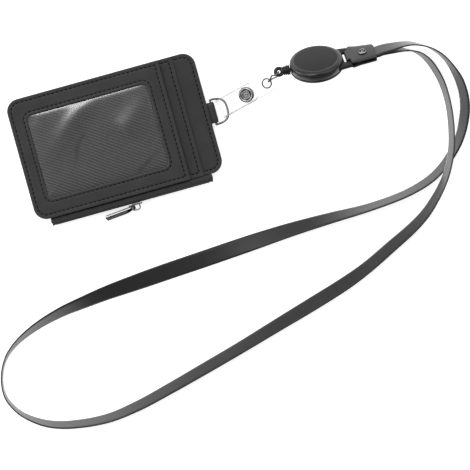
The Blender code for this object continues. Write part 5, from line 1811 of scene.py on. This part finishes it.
@dataclass
class Reel:
    """The spring reel: shells, face disc, slotted ear, cord bush and what turns inside."""

    materials: Materials
    rim: float = 0.003
    recess: float = 0.0008
    rear_high: float = 0.0018
    wall: float = 0.0015
    ear_thick: float = 0.0018
    ear_end: float = 0.0206
    ear_half: float = 0.00975
    ear_root: float = 0.011
    slot: Numbers = (0.0162, -0.0051, 0.0188, 0.0051)

    def build(self) -> None:
        """Gives the reel its smooth turned shells and its ear."""
        gloss = self.materials.solid("black_gloss", GLOSS_PLASTIC)
        matt = self.materials.solid("black_matt", MATT_PLASTIC, 1800.0, 0.08)
        top = REEL_THICK / 2
        r = REEL_RADIUS
        disc = r - self.rim
        seam = -top + self.rear_high
        recess = top - self.recess
        floor = -top + 0.0012
        inner = r - self.wall
        turn = degrees(0.0, 90.0, 14)
        brow = np.column_stack([r - 0.0028 * (1 - np.sin(turn)), top - 0.0019 * (1 - np.cos(turn))])
        start = np.array([[0.0, recess], [disc, recess], [disc, top - 0.00006], [disc + 0.00006, top]])
        end = np.array([[r, seam + GAP + 0.0002], [r - 0.0002, seam + GAP], [inner, seam + GAP],
                        [inner, recess - 0.0009], [0.0, recess - 0.0009]])
        front = lathe("reel_front_plastic", np.concatenate([start, brow, end]), REEL_MATRIX, 144)
        dress(front, gloss, Body.REEL, "black_plastic", "reel_front_shell")
        rear = np.array([[inner, seam], [r, seam], [r, -top + 0.0009], [r - 0.0009, -top], [0.0026, -top],
                         [0.0026, -top + 0.0007], [0.0014, -top + 0.0007], [0.0014, floor], [inner, floor],
                         [inner, seam]])
        shell = lathe("reel_rear_plastic", eased(rear, 0.0005)[1:], REEL_MATRIX, 144, True)
        dress(shell, gloss, Body.REEL, "black_plastic", "reel_rear_shell")
        side = disc - 0.00004
        face = np.array([[0.0, top], [side, top], [side, recess + GAP], [0.0, recess + GAP]])
        plate = lathe("reel_face_matt", eased(face, 0.00006), REEL_MATRIX, 144)
        dress(plate, matt, Body.REEL, "matt_black", "reel_face_disc")
        self.ear(matt)
        bore, outside, half = 0.00075, 0.0012, 0.0008
        ring = np.array([[bore, -half], [outside, -half], [outside, half], [bore, half], [bore, -half]])
        at = shifted(REEL_MATRIX, -r + 0.0004, CORD_Z) @ Matrix.Rotation(math.pi / 2, 4, "Y")
        dress(lathe("reel_bush", eased(ring, 0.0001)[1:], at, 32, True), gloss, Body.REEL, "black_plastic")
        self.inside()

    def ear(self, matt: Material) -> None:
        """Builds the flat ear with its slot: loops up its outer edge, over its face and down the slot.

        Args:
            matt: its material.
        """
        root = REEL_RADIUS - self.wall / 2
        reach = math.asin(self.ear_root / root)
        arc = np.array([[root * math.cos(a), root * math.sin(a)] for a in np.linspace(reach, -reach, 21)])
        x, y, c = self.ear_end, self.ear_half, 0.0016
        turn = np.linspace(0.0, math.pi / 2, 7)
        low = np.column_stack([x - c + c * np.sin(turn), -y + c - c * np.cos(turn)])
        high = np.column_stack([x - c + c * np.cos(turn), y - c + c * np.sin(turn)])
        outer = np.concatenate([arc, low, high])
        left, bottom, right, up = self.slot
        slot = outline(left, bottom, right, up, (0.0005,) * 4, 5, 1)
        centre = np.array([(left + right) / 2, 0.0])
        angle = np.concatenate([np.arctan2(*(points - centre).T[::-1]) for points in (outer, slot)])
        angle = np.unique(np.concatenate([angle, np.linspace(-math.pi, math.pi, 60, endpoint=False)]))
        angle = angle[np.diff(angle, prepend=angle[-1] - 2 * math.pi) > 0.002]
        far, near = rays(outer, centre, angle), rays(slot, centre, angle)
        way = np.column_stack([np.cos(angle), np.sin(angle)])
        h = self.ear_thick / 2
        edge = [(0.0005, -h), (0.00015, -h + 0.00015), (0.0, -h + 0.0005), (0.0, h - 0.0005),
                (0.00015, h - 0.00015), (0.0005, h)]
        sizes = [(far - inset, z) for inset, z in edge] + [(near + inset / 2, z) for inset, z in edge[::-1]]
        loops = [np.column_stack([centre + way * size[:, None], np.full(len(angle), z)]) for size, z in sizes]
        points, faces = sweep(np.array(loops), True)
        obj = new_mesh("reel_ear", moved(points, REEL_MATRIX), faces)
        dress(obj, matt, Body.REEL, "black_plastic")

    def inside(self) -> None:
        """Winds the cord on its spool and gives the hidden works their finishes."""
        wraps = 2.75
        t = np.linspace(0.0, 3 * wraps, 480)
        layer = np.floor(np.clip(t / wraps, 0.0, 2.999))
        share = t / wraps - layer
        step = np.clip((share - 0.85) / 0.15, 0.0, 1.0) * (layer < 2)
        radius = 0.0092 + 2 * CORD_RADIUS * (layer + smooth(step))
        z = -0.0009 + 0.0014 * np.where(layer % 2 == 0, share, 1.0 - share)
        path = np.column_stack([radius * np.cos(2 * math.pi * t), radius * np.sin(2 * math.pi * t), z])
        braid = self.materials.solid("cord_braid", CORD, 2500.0, 0.1)
        winding = tube("cord_winding_braid", moved(path, REEL_MATRIX), CORD_RADIUS, 8)
        dress(winding, braid, Body.SPOOL, "black_cord", "cord_winding")
        for node in ("axle_screw", "spiral_spring"):
            repaint(node, self.materials.solid("satin_steel", STEEL))
        repaint("spool", self.materials.solid("pale_plastic", PALE_PLASTIC))


@dataclass
class Fob:
    """The leather fob folded through the ear's slot, and its rivet."""

    materials: Materials
    thick: float = 0.0009
    tongue: float = 0.0045
    shoulder: float = 0.0199
    end: float = 0.0355
    wide: float = 0.0089
    end_half: float = 0.0071
    curl: float = 0.0005
    offset: float = 0.0018
    fold_x: float = 0.0179
    corner: float = 0.0014
    rivet_x: float = 0.028
    rivet_hole: float = 0.0015

    def build(self) -> None:
        """Builds the folded leather and the rivet."""
        nose = 0.001
        angle = degrees(90.0, 270.0, 17)
        fold = np.column_stack([self.fold_x + nose + nose * np.cos(angle), self.offset * np.sin(angle)])
        begin = self.shoulder + np.array([-0.0001, 0.0001, 0.0004, 0.001])
        turn = np.sin(np.radians([20.0, 40.0, 60.0, 78.0, 90.0]))
        xs = np.concatenate([[self.fold_x + nose + 0.0005], begin,
                             np.linspace(self.shoulder + 0.0022, self.end - self.corner, 14),
                             self.end - self.corner + self.corner * turn])
        taper = np.interp(xs, [self.shoulder, self.end], [self.wide, self.end_half])
        half = taper - self.corner * fall_off(np.clip((xs - self.end + self.corner) / self.corner, 0.0, 1.0))
        half[:2] = self.tongue
        half[2:5] = [self.wide - 0.0012, self.wide - 0.0005, self.wide - 0.0001]
        path = np.concatenate([np.column_stack([xs[::-1], np.full(len(xs), self.offset)]), fold[1:-1],
                               np.column_stack([xs, np.full(len(xs), -self.offset)])])
        wide = np.concatenate([half[::-1], np.full(len(fold) - 2, self.tongue), half])
        middle = stood(*path.T)
        normal = np.cross(directions(middle, False), ALONG_Y)
        curl = self.curl * np.clip((path[:, 0] - self.shoulder - 0.0012) / 0.004, 0.0, 1.0)
        obj = strip("leather_fob_hide", middle, ALONG_Y, normal, wide, self.thick, 15, curl)
        obj.data.transform(REEL_MATRIX)
        cut(obj, shifted(REEL_MATRIX, self.rivet_x), self.rivet_hole, 0.004)
        leather = self.materials.leather("fob_leather", FOB_LEATHER)
        dress(obj, leather, Body.LANYARD, "black_leather", "leather_fob")
        self.rivet()

    def rivet(self) -> None:
        """Builds the rivet: a rolled ring over the leather, and a post with a rear head."""
        metal = self.materials.metal("bright_chrome", CHROME)
        at = shifted(REEL_MATRIX, self.rivet_x)
        outer = self.offset + self.thick / 2 + GAP
        ring = np.array([[0.0015, 0.0], [0.0015, 0.0004], [0.0018, 0.0006], [0.0024, 0.0006],
                         [0.0028, 0.0003], [0.0028, 0.0], [0.0015, 0.0]]) + [0.0, outer]
        cap = lathe("rivet_cap_metal", eased(ring, 0.0002)[::-1][1:], at, 48, True)
        dress(cap, metal, Body.LANYARD, "bright_metal", "rivet_cap")
        post = np.array([[0.0, outer + 0.0004], [0.0011, outer + 0.0004], [0.0012, outer + 0.0002],
                         [0.0012, -outer], [0.0028, -outer], [0.0026, -outer - 0.0004],
                         [0.0, -outer - 0.0006]])
        post_metal = lathe("rivet_post_metal", eased(post, 0.00015), at, 40)
        dress(post_metal, metal, Body.LANYARD, "bright_metal", "rivet_post")


ROUTE = [
    (0.1652, 0.0074, 0.0115, 56),
    (0.1710, 0.0073, 0.0107, 59),
    (0.1783, 0.0070, 0.0095, 69),
    (0.1841, 0.0059, 0.0085, 77),
    (0.1890, 0.0037, 0.0076, 85),
    (0.1937, 0.0006, 0.0068, 91),
    (0.1982, -0.0040, 0.0061, 97),
    (0.2016, -0.0098, 0.0057, 102),
    (0.2037, -0.0158, 0.0054, 109),
    (0.2051, -0.0215, 0.0051, 116),
    (0.2056, -0.0276, 0.0049, 119),
    (0.2053, -0.0334, 0.0048, 121),
    (0.2040, -0.0396, 0.0047, 123),
    (0.2015, -0.0459, 0.0047, 123),
    (0.1985, -0.0518, 0.0047, 121),
    (0.1943, -0.0578, 0.0048, 120),
    (0.1884, -0.0639, 0.0048, 119),
    (0.1816, -0.0694, 0.0048, 118),
    (0.1744, -0.0736, 0.0048, 118),
    (0.1648, -0.0769, 0.0049, 117),
    (0.1522, -0.0793, 0.0049, 116),
    (0.1316, -0.0807, 0.0048, 119),
    (0.1098, -0.0806, 0.0044, 131),
    (0.0846, -0.0810, 0.0035, 146),
    (0.0539, -0.0826, 0.0018, 168),
    (0.0291, -0.0841, 0.0007, 180),
    (0.0093, -0.0852, 0.0012, 186),
    (-0.0102, -0.0865, 0.0024, 199),
    (-0.0291, -0.0879, 0.0035, 214),
    (-0.0443, -0.0897, 0.0041, 225),
    (-0.0584, -0.0917, 0.0046, 235),
    (-0.0736, -0.0956, 0.0049, 245),
    (-0.0860, -0.1008, 0.0051, 254),
    (-0.0947, -0.1068, 0.0052, 262),
    (-0.0998, -0.1135, 0.0052, 267),
    (-0.1027, -0.1210, 0.0052, 268),
    (-0.1035, -0.1284, 0.0052, 266),
    (-0.1021, -0.1349, 0.0052, 262),
    (-0.0963, -0.1439, 0.0052, 257),
    (-0.0843, -0.1527, 0.0050, 248),
    (-0.0698, -0.1574, 0.0049, 243),
    (-0.0488, -0.1595, 0.0047, 239),
    (-0.0293, -0.1572, 0.0045, 234),
    (-0.0092, -0.1526, 0.0044, 231),
    (0.0104, -0.1476, 0.0042, 228),
    (0.0377, -0.1404, 0.0041, 226),
    (0.0617, -0.1336, 0.0039, 222),
    (0.0846, -0.1272, 0.0036, 217),
    (0.1081, -0.1202, 0.0037, 219),
    (0.1239, -0.1142, 0.0041, 225),
    (0.1411, -0.1060, 0.0043, 228),
    (0.1543, -0.0996, 0.0052, 232),
    (0.1648, -0.0931, 0.0069, 237),
    (0.1736, -0.0852, 0.0099, 243),
    (0.1797, -0.0783, 0.0132, 247),
    (0.1838, -0.0723, 0.0154, 249),
    (0.1871, -0.0661, 0.0159, 250),
    (0.1897, -0.0600, 0.0150, 250),
    (0.1918, -0.0532, 0.0132, 251),
    (0.1936, -0.0455, 0.0112, 251),
    (0.1949, -0.0369, 0.0096, 252),
    (0.1953, -0.0289, 0.0086, 252),
    (0.1948, -0.0205, 0.0080, 251),
    (0.1931, -0.0130, 0.0078, 251),
    (0.1908, -0.0068, 0.0079, 253),
    (0.1875, -0.0018, 0.0082, 260),
    (0.1830, 0.0017, 0.0086, 271),
    (0.1774, 0.0039, 0.0092, 283),
    (0.1714, 0.0055, 0.0100, 297),
    (0.1652, 0.0064, 0.0107, 304),
]


@dataclass
class Lanyard:
    """The woven neck ribbon, one free length from the fob round its loop and back."""

    materials: Materials
    width: float = 0.010
    thick: float = 0.0009
    start: float = 0.0296
    offset: float = 0.0006
    stations: int = 620

    def line(self) -> Array:
        """The ribbon's middle line and roll at even steps, on a smooth curve through the route.

        Returns:
            Shaped (stations, 4): x, y, z and roll.
        """
        ends = []
        for offset, roll in ((self.offset, REEL_DIP), (-self.offset, 2 * math.pi - REEL_DIP)):
            xs = np.linspace(self.start, 0.0365, 3)
            place = moved(np.column_stack([xs, np.zeros(3), np.full(3, offset)]), REEL_MATRIX)
            ends.append(np.column_stack([place, np.full(3, roll)]))
        route = np.array(ROUTE, dtype=float)
        route[:, 3] = np.radians(route[:, 3])
        points = np.concatenate([ends[0], route, ends[1][::-1]])
        steps = np.linalg.norm(np.diff(points[:, :3], axis=0), axis=1)
        at = run_along(points[:, :3])
        slope = np.empty_like(points)
        slope[1:-1] = (points[2:] - points[:-2]) / (at[2:] - at[:-2])[:, None]
        slope[0] = (points[1] - points[0]) / steps[0]
        slope[-1] = (points[-1] - points[-2]) / steps[-1]
        wanted = np.linspace(0.0, at[-1], self.stations)
        k = np.clip(np.searchsorted(at, wanted) - 1, 0, len(steps) - 1)
        h = steps[k][:, None]
        s = (wanted - at[k])[:, None] / h
        return ((2 * s**3 - 3 * s**2 + 1) * points[k] + (s**3 - 2 * s**2 + s) * h * slope[k]
                + (3 * s**2 - 2 * s**3) * points[k + 1] + (s**3 - s**2) * h * slope[k + 1])

    def build(self) -> None:
        points = self.line()
        path = points[:, :3]
        along = directions(path, False)
        level = np.column_stack([along[:, 1], -along[:, 0], np.zeros(len(along))])
        level /= np.linalg.norm(level, axis=1)[:, None]
        rise = np.cross(level, along)
        roll = points[:, 3:]
        across = np.cos(roll) * level + np.sin(roll) * rise
        normal = np.cross(along, across)
        obj = strip("lanyard_woven", path, across, normal, self.width / 2, self.thick, 13)
        cloth = self.materials.cloth("ribbon_weave", RIBBON, Weave.RIBBED)
        dress(obj, cloth, Body.LANYARD, "black_cloth", "lanyard_ribbon")


@dataclass
class Studio:
    """The pale floor, the soft light and the camera above."""

    centre: Numbers = (0.0530, -0.0752)
    frame_width: float = 0.2779
    roll: float = math.radians(-15.5)
    lens: float = 560.0
    sensor: float = 36.0
    glow: float = 2.0

    def build(self) -> None:
        """Sets up everything that isn't part of the object."""
        self.floor()
        self.surround()
        self.lamps()
        self.camera()

    def floor(self) -> None:
        """Lays a large plain light table under the object."""
        size = 3.0
        corners = np.array([[-size, -size, 0.0], [size, -size, 0.0], [size, size, 0.0], [-size, size, 0.0]])
        obj = new_mesh("floor", corners + [*self.centre, -0.00005], [[0, 1, 2, 3]])
        nodes = NodeSet("pale_floor", Finish((0.8, 0.8, 0.8), 0.9, specular=0.1))
        nodes.fix("Emission Color", WHITE)
        ray = nodes.add("LightPath").outputs
        seen = nodes.maths("ADD", nodes.maths("ADD", ray["Is Camera Ray"], ray["Is Glossy Ray"]),
                           ray["Is Transmission Ray"])
        nodes.drive("Emission Strength", nodes.maths("MULTIPLY", nodes.maths("MINIMUM", seen, 1.0), 0.7))
        obj.data.materials.append(nodes.material)

    def surround(self) -> None:
        """Makes a bright surround: darker straight above, near the horizon, and on the object's near side."""
        world = bpy.data.worlds.new("surround")
        world.use_nodes = True
        bpy.context.scene.world = world
        nodes = Tree(world.node_tree)
        split = nodes.add("SeparateXYZ")
        nodes.join(nodes.add("TexCoord").outputs["Generated"], split.inputs[0])
        x, y, z = split.outputs
        sky = nodes.ramp(z, tuple((place, (value,) * 3) for place, value in SKY))
        side = nodes.spread(nodes.weighed((x, -0.15), (y, 0.98)), -0.55, 0.15, 0.3, 1.0)
        background = nodes.tree.nodes["Background"].inputs
        background["Color"].default_value = WHITE
        glow = nodes.maths("MULTIPLY", nodes.maths("MULTIPLY", sky, side), self.glow)
        nodes.join(glow, background["Strength"])

    def lamps(self) -> None:
        """Hangs a bright narrow softbox that the window's film mirrors, and a dim one low on the left."""
        for name, place, power, size in (("key", (-0.19, 0.45, 0.95), 2.7, (0.55, 0.26)),
                                         ("side", (-1.0, 0.45, 0.3), 5.0, (0.9, 0.5))):
            data = bpy.data.lights.new(name, "AREA")
            data.shape = "RECTANGLE"
            data.energy = power
            data.size, data.size_y = size
            lamp = bpy.data.objects.new(name, data)
            lamp.location = place
            aim = Vector((-0.01, 0.0, 0.0)) - Vector(place)
            lamp.rotation_euler = aim.to_track_quat("-Z", "Y").to_euler()
            bpy.context.scene.collection.objects.link(lamp)

    def camera(self) -> None:
        """Places a long lens straight above, turned as the photograph is."""
        data = bpy.data.cameras.new("camera")
        data.lens = self.lens
        data.sensor_width = self.sensor
        data.clip_start = 0.05
        data.clip_end = 20.0
        obj = bpy.data.objects.new("camera", data)
        obj.location = (*self.centre, self.frame_width * self.lens / self.sensor + 0.004)
        obj.rotation_euler = (0.0, 0.0, self.roll)
        bpy.context.scene.collection.objects.link(obj)
        bpy.context.scene.camera = obj


def main() -> None:
    """Builds each sub-assembly over the frame."""
    logging.basicConfig(level=logging.INFO, format="%(message)s")
    scene = bpy.context.scene
    scene.view_settings.view_transform = "Standard"
    scene.view_settings.look = "None"
    materials = Materials()
    for piece in (Studio(), Lanyard(materials), CardCase(materials), Slider(materials), Ring(materials),
                  SnapStrap(materials), Fitting(materials), Reel(materials), Fob(materials)):
        LOG.info("building %s", type(piece).__name__)
        piece.build()


if __name__ == "__main__":
    main()
